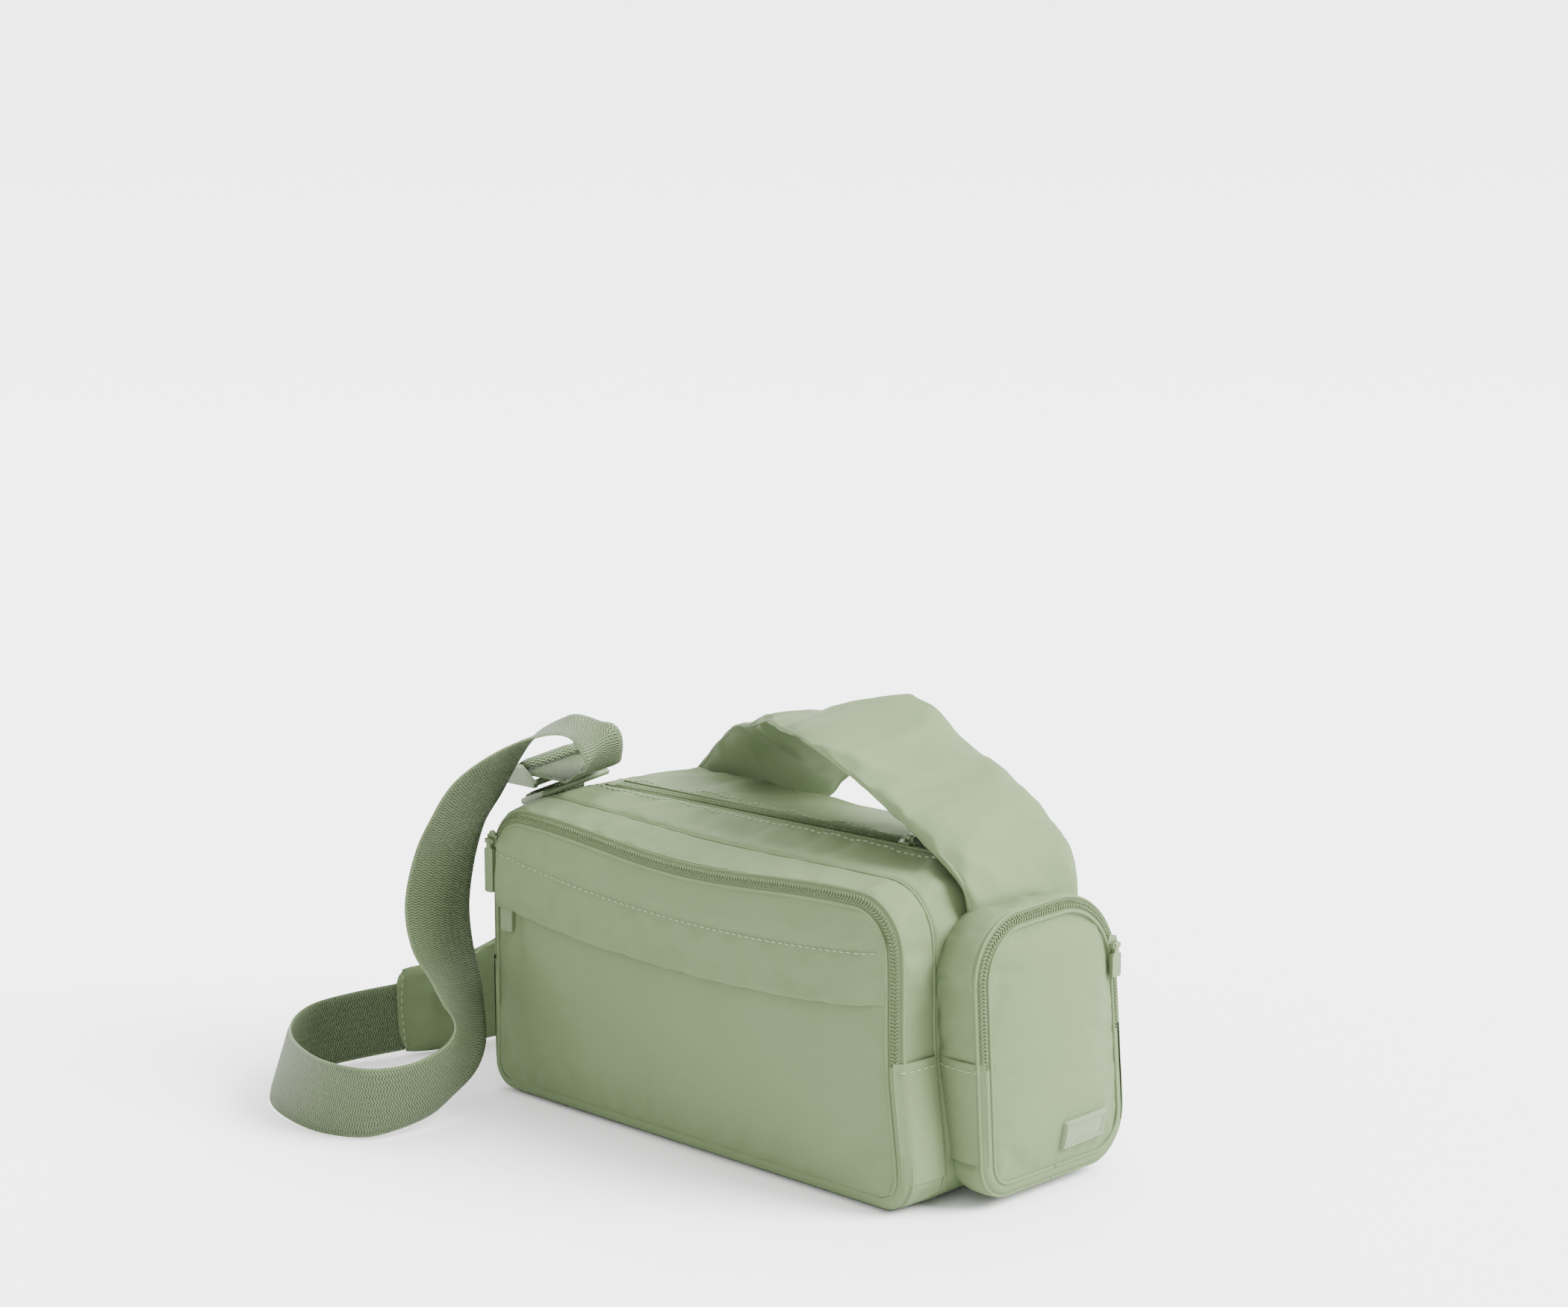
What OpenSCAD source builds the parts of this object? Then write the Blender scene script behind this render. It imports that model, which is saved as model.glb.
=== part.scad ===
// Crossbody purse: a soft boxy bag with a front compartment, a flap-covered zip
// pocket, a D-shaped side pocket, a wide padded strap and a webbing strap with a
// slider. X runs along the bag, -Y is its front, and Z = 0 is the surface it
// stands on. All lengths are in millimetres.

/* [Body] */
// Length of the bag between its two end panels
body_len = 242; // [210:1:280]
// Depth of the front compartment
front_depth = 21; // [16:1:30]
// Depth of the main compartment
main_depth = 89; // [75:1:110]
// Height of the front compartment
front_h = 127; // [110:1:140]
// Height of the main compartment
main_h = 133; // [120:1:150]
// Radius of the bag's top corners, seen from the front
corner_r = 24; // [18:1:30]
// How far the lower right end swells past the end panel
end_swell = 7; // [0:1:10]
// Thickness of one fabric wall with its lining
wall = 1.6; // [1.2:0.1:2.4]

/* [Side pocket] */
// How far the side pocket stands out from the end panel
pocket_depth = 24; // [18:1:32]
// Height of the top of the side pocket
pocket_h = 118; // [105:1:122]

/* [Zips] */
// Width of the band that each zip makes between two panels
zip_band = 5; // [4:0.5:7]
// Width of the main zip's closed chain
main_chain_w = 5.6; // [4.5:0.1:7]
// Length of a long zip pull
pull_len = 23; // [16:1:26]
// Width of a zip pull
pull_w = 7.4; // [5:0.2:9]

/* [Strap] */
// Width of the strap webbing
web_w = 32; // [28:1:34]
// Thickness of the strap webbing
web_t = 1.6; // [1.2:0.1:2]
// Thickness of the padded strap
pad_t = 9; // [7:0.5:11]
// Radius of the rods of the ring and the slider
rod_r = 1.5; // [1.2:0.1:1.8]

/* [Hidden] */

fabric_colour = [0.62, 0.68, 0.54];
lining_colour = [0.50, 0.56, 0.43];
tape_colour = [0.55, 0.61, 0.47];
web_colour = [0.45, 0.51, 0.37];
plastic_colour = [0.60, 0.67, 0.52];
rubber_colour = [0.58, 0.64, 0.50];

far = 400;               // reaches past the whole bag
gap = 0.3;               // clearance between pieces of different bodies
half_len = body_len / 2;
y_seam = -33;            // seam between the front and the main compartment
y_front = y_seam - front_depth;
y_back = y_seam + main_depth;
fold_z = 61;             // height of the stitched fold where the zips end
foot_r = 12;             // radius of the bag's bottom corners
waist_z = 66;            // height at which the right end starts to swell
seg = 6;                 // straight steps in each quarter of an outline
round_fn = 32;           // sides of a small round piece
lining_t = 0.8;          // thickness of the lining
lining_w = 216;          // width of the lining and of the base board
lining_z = 14;           // underside of the flap pocket's lining
divider_t = 1.2;         // thickness of the wall between the two compartments

// --- outlines -------------------------------------------------------------

function arc(centre, r, from, to, n = seg) =
    [for (i = [0 : n]) centre + r * [cos(from + (to - from) * i / n),
                                     sin(from + (to - from) * i / n)]];

// The bag seen from the front, drawn inwards by e, for a compartment of height h
function bag_outline(e, h) = concat(
    arc([half_len + end_swell - foot_r, foot_r], foot_r - e, -90, 0),
    [[half_len + end_swell / 6 - e, waist_z]],
    arc([half_len - corner_r, h - corner_r], corner_r - e, 0, 90),
    arc([corner_r - half_len, h - corner_r], corner_r - e, 90, 180),
    arc([foot_r - half_len, foot_r], foot_r - e, 180, 270));

pocket_front_y = -34;    // front edge of the side pocket at mid-height
pocket_back_y = 61;      // back edge of the side pocket near its foot
pocket_foot_z = 4;       // underside of the side pocket
pocket_x = half_len + pocket_depth;

// The D-shaped side pocket seen from its end, as [y, z] points, drawn inwards by e
function pocket_outline(e) = concat(
    arc([pocket_back_y - 26, pocket_foot_z + 26], 26 - e, -90, 5),
    arc([18, pocket_h - 34], 34 - e, 5, 90),
    arc([pocket_front_y + 19, pocket_h - 21], 19 - e, 90, 180),
    arc([pocket_front_y + 16, pocket_foot_z + 12], 12 - e, 180, 270));

// The part of a flat drawing between two heights
module between(z0, z1) {
    intersection() {
        children();
        translate([-far / 2, z0]) square([far, z1 - z0]);
    }
}

// A drawing of the bag's front, made t thick backwards from the plane y
module slab_y(y, t) {
    translate([0, y + t, 0]) rotate([90, 0, 0]) linear_extrude(t) children();
}

// A drawing with y and z axes, made t thick from the plane x
module slab_x(x, t) {
    translate([x, 0, 0]) rotate([90, 0, 90]) linear_extrude(t) children();
}

module bag_face(e, h) { polygon(bag_outline(e, h)); }
module pocket_face(e) { polygon(pocket_outline(e)); }

// --- front compartment ----------------------------------------------------

flap_zip_z = 92;         // height of the zip that the flap covers
flap_zip_gap = 7.6;      // height of the slot in the panel for that zip
lower_edge_z = flap_zip_z - flap_zip_gap / 2;
upper_edge_z = flap_zip_z + flap_zip_gap / 2;
flap_t = 1.4;
flap_y = y_front - 3.6;  // back face of the flap, clear of the slider under it
flap_top_z = 106;
flap_seam_h = 2.5;       // height of the flap's sewn top edge
flap_half_w = half_len - zip_band - 2.4;

module front_panel() {
    color(fabric_colour) slab_y(y_front, wall) {
        between(0, fold_z) bag_face(0, front_h);
        between(fold_z, lower_edge_z) bag_face(zip_band + gap, front_h);
    }
}

module front_yoke() {
    color(fabric_colour) slab_y(y_front, wall)
        between(upper_edge_z, far) bag_face(zip_band + gap, front_h);
}

// A fold of fabric sewn along its top and both ends; its free lower edge sags
module pocket_flap() {
    w = flap_half_w;
    color(fabric_colour) {
        slab_y(flap_y - flap_t, flap_t)
            polygon([[-w, 88], [-80, 82], [0, 79], [70, 80], [w, 86],
                     [w, flap_top_z], [-w, flap_top_z]]);
        slab_y(flap_y, y_front - flap_y)
            translate([-w, flap_top_z - flap_seam_h]) square([2 * w, flap_seam_h]);
    }
}

module flap_pocket_lining() {
    color(lining_colour) slab_y(y_front + wall + 5, lining_t)
        translate([-lining_w / 2, lining_z]) square([lining_w, flap_zip_z - 8]);
}

module front_gusset(z0, z1) {
    color(fabric_colour) slab_y(y_front + wall, front_depth - wall)
        between(z0, z1) difference() {
            bag_face(0, front_h);
            bag_face(wall, front_h);
        }
}

module front_gusset_upper() { front_gusset(fold_z, far); }
module front_gusset_lower() { front_gusset(-1, fold_z); }

module front_divider() {
    color(fabric_colour) slab_y(y_seam - divider_t, divider_t) bag_face(wall, front_h);
}

module front_zip_tape() {
    color(tape_colour) slab_y(y_front + 0.2, wall - 0.2)
        between(fold_z, far) difference() {
            bag_face(0, front_h);
            bag_face(zip_band, front_h);
        }
}

// --- zip slider and pull, drawn lying on a zip that runs along X ------------

bail_z = 2.4;            // height of the pull's pin above the slider's sole
bail_r = 0.7;
pin_clear = 0.06;

// The crown of a slider with two cheeks and the pin that the pull turns on.
// turn is the way the pull points, measured from +X.
module slider_body(l = 9, w = 6.4, turn = 0) {
    linear_extrude(1) union() {
        translate([-l / 2 + 2, -w / 2]) square([l - 4, w]);
        for (s = [-1, 1]) translate([s * (l / 2 - 2), 0]) circle(d = 4, $fn = round_fn);
    }
    rotate([0, 0, turn]) {
        for (s = [-1, 1]) translate([-1, s * 2 - 0.45, 1]) cube([2, 0.9, bail_z - 0.3]);
        translate([0, 1.9, bail_z]) rotate([90, 0, 0]) cylinder(r = bail_r, h = 3.8, $fn = round_fn);
    }
}

// A moulded pull: an eye round the pin and a flat bar with round corners
module pull_body(l, w, turn = 0) {
    eye_r = bail_r + pin_clear;
    bar_z = bail_z - 0.9;
    neck = 3;
    corner = 1.2;
    rotate([0, 0, turn]) {
        translate([0, 1.3, bail_z]) rotate([90, 0, 0]) difference() {
            union() {
                cylinder(r = eye_r + 0.5, h = 2.6, $fn = round_fn);
                translate([0, -0.9, 0]) cube([neck + 0.4, 1.7, 2.6]);
            }
            translate([0, 0, -1]) cylinder(r = eye_r, h = 5, $fn = round_fn);
        }
        translate([neck, 0, bar_z]) linear_extrude(1.7) union() {
            translate([0, -w / 2 + corner]) square([l - neck, w - 2 * corner]);
            translate([corner, -w / 2]) square([l - neck - 2 * corner, w]);
            for (x = [corner, l - neck - corner]) for (s = [-1, 1])
                translate([x, s * (w / 2 - corner)]) circle(r = corner, $fn = round_fn);
        }
    }
}

// Places for the four sliders. Each turns +X along its zip and +Z out of the bag.
module at_front_zip() {
    translate([2.6 - half_len, y_front - 0.1, 113]) rotate([90, 90, 0]) children();
}
module at_flap_zip() {
    translate([-108, y_front + 1, flap_zip_z]) rotate([90, 0, 0]) children();
}
module at_main_zip() { translate([78, zip_y, main_h + 0.1]) children(); }

side_arc_y = 18;         // centre of the curve that the side zip follows
side_arc_z = pocket_h - 34;
side_arc_r = 34 - zip_band / 2;
side_turn = 20;          // where on that curve the side slider stands
module at_side_zip() {
    translate([pocket_x + 0.1, side_arc_y, side_arc_z]) rotate([side_turn, 0, 0])
        translate([0, side_arc_r, 0]) rotate([0, 90, 0]) children();
}

module front_zip_slider() { color(plastic_colour) at_front_zip() slider_body(); }
module front_zip_pull() { color(plastic_colour) at_front_zip() pull_body(pull_len, 5.4); }

// --- zip under the flap -----------------------------------------------------

module flap_zip_tape() {
    tape_w = 4;
    tape_len = 224;
    color(tape_colour) slab_y(y_front + wall + 0.9, 0.7) for (s = [-1, 1])
        translate([-tape_len / 2, flap_zip_z + s * 4.2 - tape_w / 2]) square([tape_len, tape_w]);
}
module flap_zip_coil() {
    coil_w = 2.1;
    coil_len = 220;
    color(tape_colour) slab_y(y_front + wall - 0.3, 1.4) for (s = [-1, 1])
        translate([-coil_len / 2, flap_zip_z + s * 1.15 - coil_w / 2]) square([coil_len, coil_w]);
}
module flap_zip_slider() { color(plastic_colour) at_flap_zip() slider_body(9, 6, -90); }
module flap_zip_pull() { color(rubber_colour) at_flap_zip() pull_body(18, pull_w, -90); }

// --- main compartment -------------------------------------------------------

zip_y = 1;               // the main zip's centre line
slot_half = 4.4;         // half the slot between the two top panels
flat_x = half_len - corner_r;    // end of the flat of the top

module main_band(z0, z1) {
    slab_y(y_seam, main_depth - wall) between(z0, z1) difference() {
        bag_face(0, main_h);
        bag_face(wall, main_h);
    }
}

module back_panel() { color(fabric_colour) slab_y(y_back - wall, wall) bag_face(0, main_h); }

module base_panel() { color(fabric_colour) main_band(-1, foot_r); }

module left_end_panel() {
    color(fabric_colour) intersection() {
        main_band(foot_r, far);
        translate([-far - flat_x, -far / 2, 0]) cube([far, far, far]);
    }
}
module right_end_panel() {
    color(fabric_colour) intersection() {
        main_band(foot_r, far);
        translate([flat_x, -far / 2, 0]) cube([far, far, far]);
    }
}
module top_panel_front() {
    color(fabric_colour) translate([-flat_x, y_seam, main_h - wall])
        cube([2 * flat_x, zip_y - slot_half - y_seam, wall]);
}
module top_panel_back() {
    color(fabric_colour) translate([-flat_x, zip_y + slot_half, main_h - wall])
        cube([2 * flat_x, y_back - wall - zip_y - slot_half, wall]);
}

module base_board() {
    color(lining_colour) translate([-lining_w / 2, y_seam + 4, wall + 0.1])
        cube([lining_w, main_depth - 10, 1.5]);
}
foam_t = 2.5;
foam_y = y_back - wall - foam_t - 0.1;   // front face of the foam
module back_foam() {
    color(lining_colour) slab_y(foam_y, foam_t)
        between(foot_r + 4, far) bag_face(8, main_h - 4);
}
module inner_slip_pocket() {
    w = 160;
    h = 70;
    z = 26;
    room = 4.8;          // depth of the space inside
    color(lining_colour) {
        slab_y(foam_y - room - lining_t, lining_t) translate([-w / 2, z]) square([w, h]);
        slab_y(foam_y - room, room) translate([-w / 2, z]) square([w, lining_t]);
        for (x = [-w / 2, w / 2 - lining_t])
            slab_y(foam_y - room, room) translate([x, z]) square([lining_t, h]);
    }
}

tape_under = 3;          // how far each tape runs on under its panel
tape_z = main_h - wall - 1.1;
module main_zip_tape_front() {
    color(tape_colour) translate([-flat_x, zip_y - slot_half - tape_under, tape_z])
        cube([2 * flat_x, slot_half + tape_under - main_chain_w / 2, 1]);
}
module main_zip_tape_back() {
    color(tape_colour) translate([-flat_x, zip_y + main_chain_w / 2, tape_z])
        cube([2 * flat_x, slot_half + tape_under - main_chain_w / 2, 1]);
}
module main_zip_coil() {
    color(tape_colour) for (s = [-1, 1])
        translate([2 - flat_x, zip_y + (s - 1) * main_chain_w / 4 + 0.05, tape_z - 0.2])
            cube([2 * flat_x - 4, main_chain_w / 2 - 0.1, 2.4]);
}
module main_zip_stops() {
    color(plastic_colour) for (x = [-flat_x + 0.1, flat_x - 1.8])
        translate([x, zip_y - main_chain_w / 2 + 0.3, tape_z])
            cube([1.7, main_chain_w - 0.6, 2.2]);
}
module main_zip_slider() { color(plastic_colour) at_main_zip() slider_body(10, 7.6, 90); }
module main_zip_pull() { color(plastic_colour) at_main_zip() pull_body(pull_len, pull_w, 90); }

// --- side pocket --------------------------------------------------------------

base_y0 = -16;           // front edge of the strap where it is sewn in
base_y1 = 52;            // its back edge
base_z = 106;            // height at which it is sewn in
anchor_t = 8.4;

// Everything that the pocket's gusset is cut away from
module pocket_clearance() {
    translate([0, -far / 2, 0]) slab_y(0, far) bag_face(0, main_h);
    translate([0, base_y0 - 0.4, base_z - 0.4])
        cube([half_len + anchor_t + 0.8, base_y1 - base_y0 + 0.8, far]);
}

module side_gusset(z0, z1) {
    color(fabric_colour) difference() {
        slab_x(half_len - 4, pocket_depth + 4 - wall) between(z0, z1) difference() {
            pocket_face(0);
            pocket_face(wall);
        }
        pocket_clearance();
    }
}
module side_gusset_upper() { side_gusset(fold_z, far); }
module side_gusset_lower() { side_gusset(-1, fold_z); }

module side_pocket_panel() {
    color(fabric_colour) slab_x(pocket_x - wall, wall) {
        between(0, fold_z) pocket_face(0);
        between(fold_z, far) pocket_face(zip_band + gap);
    }
}
module side_zip_tape() {
    color(tape_colour) slab_x(pocket_x - wall, wall - 0.2)
        between(fold_z, far) difference() {
            pocket_face(0);
            pocket_face(zip_band);
        }
}
module side_zip_slider() {
    color(plastic_colour) at_side_zip() slider_body(turn = -side_turn);
}
module side_zip_pull() { color(plastic_colour) at_side_zip() pull_body(13, 5.4, -side_turn); }

// A plain raised rubber patch on the lower back of the pocket's panel
module side_patch() {
    patch_at = [14, 17.5];
    patch_size = [27, 11.5];
    color(rubber_colour) slab_x(pocket_x + 0.02, 1.3) translate(patch_at) square(patch_size);
}

// --- padded strap and webbing ---------------------------------------------------

// Route of the padded strap: centre, direction across it, and width
pad_route = [
    [[124, 16, 123], [0, 1, 0.1], 66],
    [[116, 16, 134], [0, 1, 0.1], 66],
    [[92, 16, 150], [0, 1, 0.1], 66],
    [[68, 16, 162], [0, 1, 0.1], 66],
    [[42, 18, 174], [0, 1, 0.2], 63],
    [[22, 25, 176], [0.1, 1, 0.1], 60],
    [[0, 36, 168], [0.3, 1, -0.2], 57],
    [[-25, 48, 156], [0.5, 0.8, -0.3], 54],
    [[-52, 60, 142], [0.5, 0.6, -0.6], 54],
    [[-80, 69, 122], [0.4, 0.4, -0.8], 54],
    [[-106, 70, 97], [0.3, 0.2, -0.9], 54],
    [[-130, 62, 74], [0.2, 0.2, -1], 53],
    [[-152, 45, 53], [0.1, 0.1, -1], 51],
    [[-168, 20, 36], [0, 0, -1], 48],
    [[-177, -8, 25], [0, 0, -1], 45],
    [[-181, -32, 22], [0, 0, -1], 43],
    [[-190, -55, 21], [0.1, 0.3, -0.9], 40]];

// Route of the webbing: centre and direction across it
web_route = [
    [[-189, -52, 19], [0.1, 0.3, -0.9]],
    [[-195, -76, 18], [0, 0.1, -1]],
    [[-197, -98, 17], [-0.1, -0.1, -1]],
    [[-189, -117, 17], [-0.2, -0.2, -1]],
    [[-170, -134, 17], [-0.1, -0.3, -1]],
    [[-146, -144, 17], [0, -0.2, -1]],
    [[-120, -147, 17], [0, 0, -1]],
    [[-98, -140, 18], [-0.1, 0.2, -1]],
    [[-88, -122, 21], [-0.2, 0.6, -0.8]],
    [[-89, -103, 27], [-0.4, 0.7, -0.5]],
    [[-98, -88, 36], [-0.4, 0.8, -0.3]],
    [[-115, -79, 51], [-0.2, 0.9, -0.2]],
    [[-132, -73, 66], [0.1, 1, -0.1]],
    [[-140, -69, 83], [0.2, 1, -0.1]],
    [[-138, -66, 104], [0.1, 1, -0.2]],
    [[-131, -64, 121], [-0.1, 0.9, -0.3]],
    [[-122, -60, 136], [-0.2, 0.9, -0.4]],
    [[-112, -52, 150], [-0.4, 0.9, -0.2]],
    [[-102, -40, 161], [-0.6, 0.8, 0]],
    [[-93, -29, 163], [-0.5, 0.9, 0.1]],
    [[-87, -20, 154], [-0.3, 0.9, 0.1]],
    [[-96, -15, 142], [-0.1, 1, 0.1]],
    [[-106, -14, 140.5], [0, 1, 0.14]],
    [[-124, -14, 140.5], [0, 1, 0.14]],
    [[-139, -14, 140.5], [0, 1, 0.14]]];

function unit(v) = v / norm(v);
function clamp_index(i, n) = max(0, min(n - 1, i));
// Catmull-Rom value of one column of a route between entries i and i + 1
function along(route, col, i, t) =
    let (n = len(route),
         a = route[clamp_index(i - 1, n)][col], b = route[i][col],
         c = route[clamp_index(i + 1, n)][col], d = route[clamp_index(i + 2, n)][col])
    0.5 * (2 * b + (c - a) * t + (2 * a - 5 * b + 4 * c - d) * t * t
           + (3 * b - a - 3 * c + d) * t * t * t);
function soft_power(v, p) = sign(v) * pow(abs(v), p);

// Rings of a flat band: centre, across direction and width run along the route
function band_rings(route, width, thick, steps, sides, square_p) =
    let (n = len(route))
    [for (i = [0 : n - 2]) for (k = [0 : (i == n - 2 ? steps : steps - 1)])
        let (t = k / steps,
             c = along(route, 0, i, t),
             ahead = along(route, 0, i, min(1, t + 0.02)) - along(route, 0, i, max(0, t - 0.02)),
             tangent = unit(ahead),
             rough = along(route, 1, i, t),
             across = unit(rough - (rough * tangent) * tangent),
             up = cross(tangent, across),
             w = width > 0 ? width : along(route, 2, i, t))
        [for (s = [0 : sides - 1])
            let (a = 360 * (s + 0.5) / sides)
            c + across * (w / 2) * soft_power(cos(a), square_p)
              + up * (thick / 2) * soft_power(sin(a), square_p)]];

module band_solid(rings) {
    n = len(rings);
    m = len(rings[0]);
    polyhedron(
        points = [for (r = rings) for (p = r) p],
        faces = concat(
            [[for (s = [0 : m - 1]) s]],
            [[for (s = [m - 1 : -1 : 0]) (n - 1) * m + s]],
            [for (r = [0 : n - 2]) for (s = [0 : m - 1])
                [r * m + s, (r + 1) * m + s, (r + 1) * m + (s + 1) % m, r * m + (s + 1) % m]]),
        convexity = 10);
}

module strap_pad() {
    color(fabric_colour) band_solid(band_rings(pad_route, 0, pad_t, 2, 10, 0.6));
}

module strap_anchor() {
    anchor_h = 12;
    color(fabric_colour) translate([half_len + gap, base_y0, base_z])
        cube([anchor_t, base_y1 - base_y0, anchor_h]);
}

module strap_webbing() {
    color(web_colour) band_solid(band_rings(web_route, web_w, web_t, 3, 8, 0.35));
}

// --- strap hardware ---------------------------------------------------------------

hw_tilt = 8;             // the hardware's back end sits higher than its front end
hw_y = -14;              // centre of the hardware
hw_w = 40;               // outer width of the ring and the slider
web_z = 140.5;           // height of the webbing where it runs through the slider
slider_x = -127;
slider_half = 10;        // from the slider's centre bar to each outer bar
bar_len = hw_w - 2 * rod_r;

// Turns pieces drawn round [0, 0, web_z] into the hardware's tilted place
module hardware() {
    translate([0, hw_y, web_z]) rotate([hw_tilt, 0, 0]) children();
}

// A round rod along Y through [x, z], its length centred
module rod(x, z, l = bar_len) {
    translate([x, l / 2, z]) rotate([90, 0, 0]) cylinder(r = rod_r, h = l, $fn = round_fn);
}

low_z = -web_t / 2 - 0.4 - rod_r;    // bar under the webbing
high_z = web_t / 2 + 0.4 + rod_r;    // bar over the webbing

module slider_frame() {
    color(plastic_colour) hardware() {
        for (s = [-1, 1]) rod(slider_x + s * slider_half, low_z, hw_w - 2);
        for (s = [-1, 1]) translate([0, s * (hw_w / 2 - 1.2) + 1.2, 0]) rotate([90, 0, 0])
            linear_extrude(2.4) polygon([
                [slider_x - slider_half - 2, low_z - rod_r],
                [slider_x + slider_half + 2, low_z - rod_r],
                [slider_x + slider_half + 2, low_z + 0.4],
                [slider_x + 4, high_z + rod_r],
                [slider_x - 4, high_z + rod_r],
                [slider_x - slider_half - 2, low_z + 0.4]]);
    }
}

module slider_centre_bar() {
    color(plastic_colour) hardware() rod(slider_x, high_z, hw_w - 4.8);
}

// The sewn tail of the webbing, folded over the slider's centre bar
module webbing_tail() {
    tail_w = web_w - 2;
    color(web_colour) hardware() translate([slider_x, tail_w / 2, high_z]) rotate([90, 0, 0])
        linear_extrude(tail_w) intersection() {
            difference() {
                circle(r = rod_r + 0.05 + web_t, $fn = round_fn);
                circle(r = rod_r + 0.05, $fn = round_fn);
            }
            translate([-far / 2, -0.6]) square([far, far]);
        }
}

ring_x1 = -110;          // the ring's free bar
ring_z1 = -6.4;
ring_x0 = -125;          // the ring's bar in the tab
ring_z0 = -12;

module ring() {
    run = norm([ring_x1 - ring_x0, ring_z1 - ring_z0]);
    tilt = atan2(ring_z1 - ring_z0, ring_x1 - ring_x0);
    color(plastic_colour) hardware() translate([ring_x0, 0, ring_z0]) rotate([0, -tilt, 0]) {
        for (x = [0, run]) rod(x, 0, hw_w - 2);
        for (s = [-1, 1]) translate([0, s * (hw_w / 2 - rod_r), 0]) rotate([0, 90, 0])
            cylinder(r = rod_r, h = run, $fn = round_fn);
        for (x = [0, run]) for (s = [-1, 1])
            translate([x, s * (hw_w / 2 - rod_r), 0]) sphere(r = rod_r, $fn = 24);
    }
}

// Folded webbing that holds the ring and is sewn down on the left end panel
module ring_tab() {
    tab_w = web_w - 1;
    ply = 1.6;           // thickness of each of the tab's two plies
    fold_r = rod_r + 0.1 + ply;
    leg = 36;            // length of each ply below the ring's bar
    sewn_h = 16;         // height of the part that is sewn down
    color(web_colour) hardware() translate([0, tab_w / 2, 0]) rotate([90, 0, 0])
        linear_extrude(tab_w) difference() {
            union() {
                translate([ring_x0, ring_z0]) circle(r = fold_r, $fn = round_fn);
                for (x = [-fold_r, fold_r - ply])
                    translate([ring_x0 + x, ring_z0 - leg]) square([ply, leg]);
                translate([ring_x0 - fold_r, ring_z0 - leg])
                    square([fold_r - ring_x0 - half_len, sewn_h]);
            }
            translate([ring_x0, ring_z0]) circle(r = rod_r + 0.08, $fn = round_fn);
        }
}

front_panel();
front_yoke();
pocket_flap();
flap_pocket_lining();
front_gusset_upper();
front_gusset_lower();
front_divider();
front_zip_tape();
front_zip_slider();
front_zip_pull();
flap_zip_tape();
flap_zip_coil();
flap_zip_slider();
flap_zip_pull();
back_panel();
base_panel();
left_end_panel();
right_end_panel();
top_panel_front();
top_panel_back();
base_board();
back_foam();
inner_slip_pocket();
main_zip_tape_front();
main_zip_tape_back();
main_zip_coil();
main_zip_stops();
main_zip_slider();
main_zip_pull();
side_pocket_panel();
side_gusset_upper();
side_gusset_lower();
side_zip_tape();
side_zip_slider();
side_zip_pull();
side_patch();
strap_anchor();
strap_pad();
strap_webbing();
slider_frame();
slider_centre_bar();
webbing_tail();
ring();
ring_tab();
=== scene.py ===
import math
import bpy
import numpy as np
from mathutils import Matrix, Vector
from mathutils.bvhtree import BVHTree


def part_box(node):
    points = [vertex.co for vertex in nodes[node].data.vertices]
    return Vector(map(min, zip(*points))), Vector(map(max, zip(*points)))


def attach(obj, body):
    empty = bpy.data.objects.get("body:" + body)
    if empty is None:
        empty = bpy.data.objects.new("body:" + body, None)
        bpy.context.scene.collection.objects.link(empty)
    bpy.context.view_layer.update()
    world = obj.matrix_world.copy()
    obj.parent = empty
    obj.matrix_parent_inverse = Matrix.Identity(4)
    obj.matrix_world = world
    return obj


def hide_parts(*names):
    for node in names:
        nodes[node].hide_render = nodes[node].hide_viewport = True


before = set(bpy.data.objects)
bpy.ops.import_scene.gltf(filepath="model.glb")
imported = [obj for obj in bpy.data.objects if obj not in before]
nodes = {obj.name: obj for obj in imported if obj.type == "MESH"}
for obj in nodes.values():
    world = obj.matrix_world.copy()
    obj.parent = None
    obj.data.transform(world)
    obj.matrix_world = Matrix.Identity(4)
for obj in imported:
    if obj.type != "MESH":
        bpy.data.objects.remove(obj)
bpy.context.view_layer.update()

scene = bpy.context.scene

# ---------------------------------------------------------------- camera

AZ, PITCH, DIST = math.radians(44.4), math.radians(8.6), 1.2
AIM = Vector((0.003, 0, 0.07))             # what the camera would face if its view were not shifted
SHIFT_RIGHT, SHIFT_UP = 0.00334, 0.13153
forward = Vector((-math.sin(AZ) * math.cos(PITCH), math.cos(AZ) * math.cos(PITCH), -math.sin(PITCH)))
right = Vector((math.cos(AZ), math.sin(AZ), 0))
upward = right.cross(forward)
eye = AIM - forward * DIST + right * SHIFT_RIGHT + upward * SHIFT_UP
camera_data = bpy.data.cameras.new("camera")
camera_data.lens = 64.594
camera_data.sensor_width = 36
camera_data.clip_start, camera_data.clip_end = 0.05, 30
camera = bpy.data.objects.new("camera", camera_data)
camera.matrix_world = Matrix((
    (right.x, upward.x, -forward.x, eye.x),
    (right.y, upward.y, -forward.y, eye.y),
    (right.z, upward.z, -forward.z, eye.z),
    (0, 0, 0, 1)))
scene.collection.objects.link(camera)
scene.camera = camera


# ---------------------------------------------------------------- materials

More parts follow.
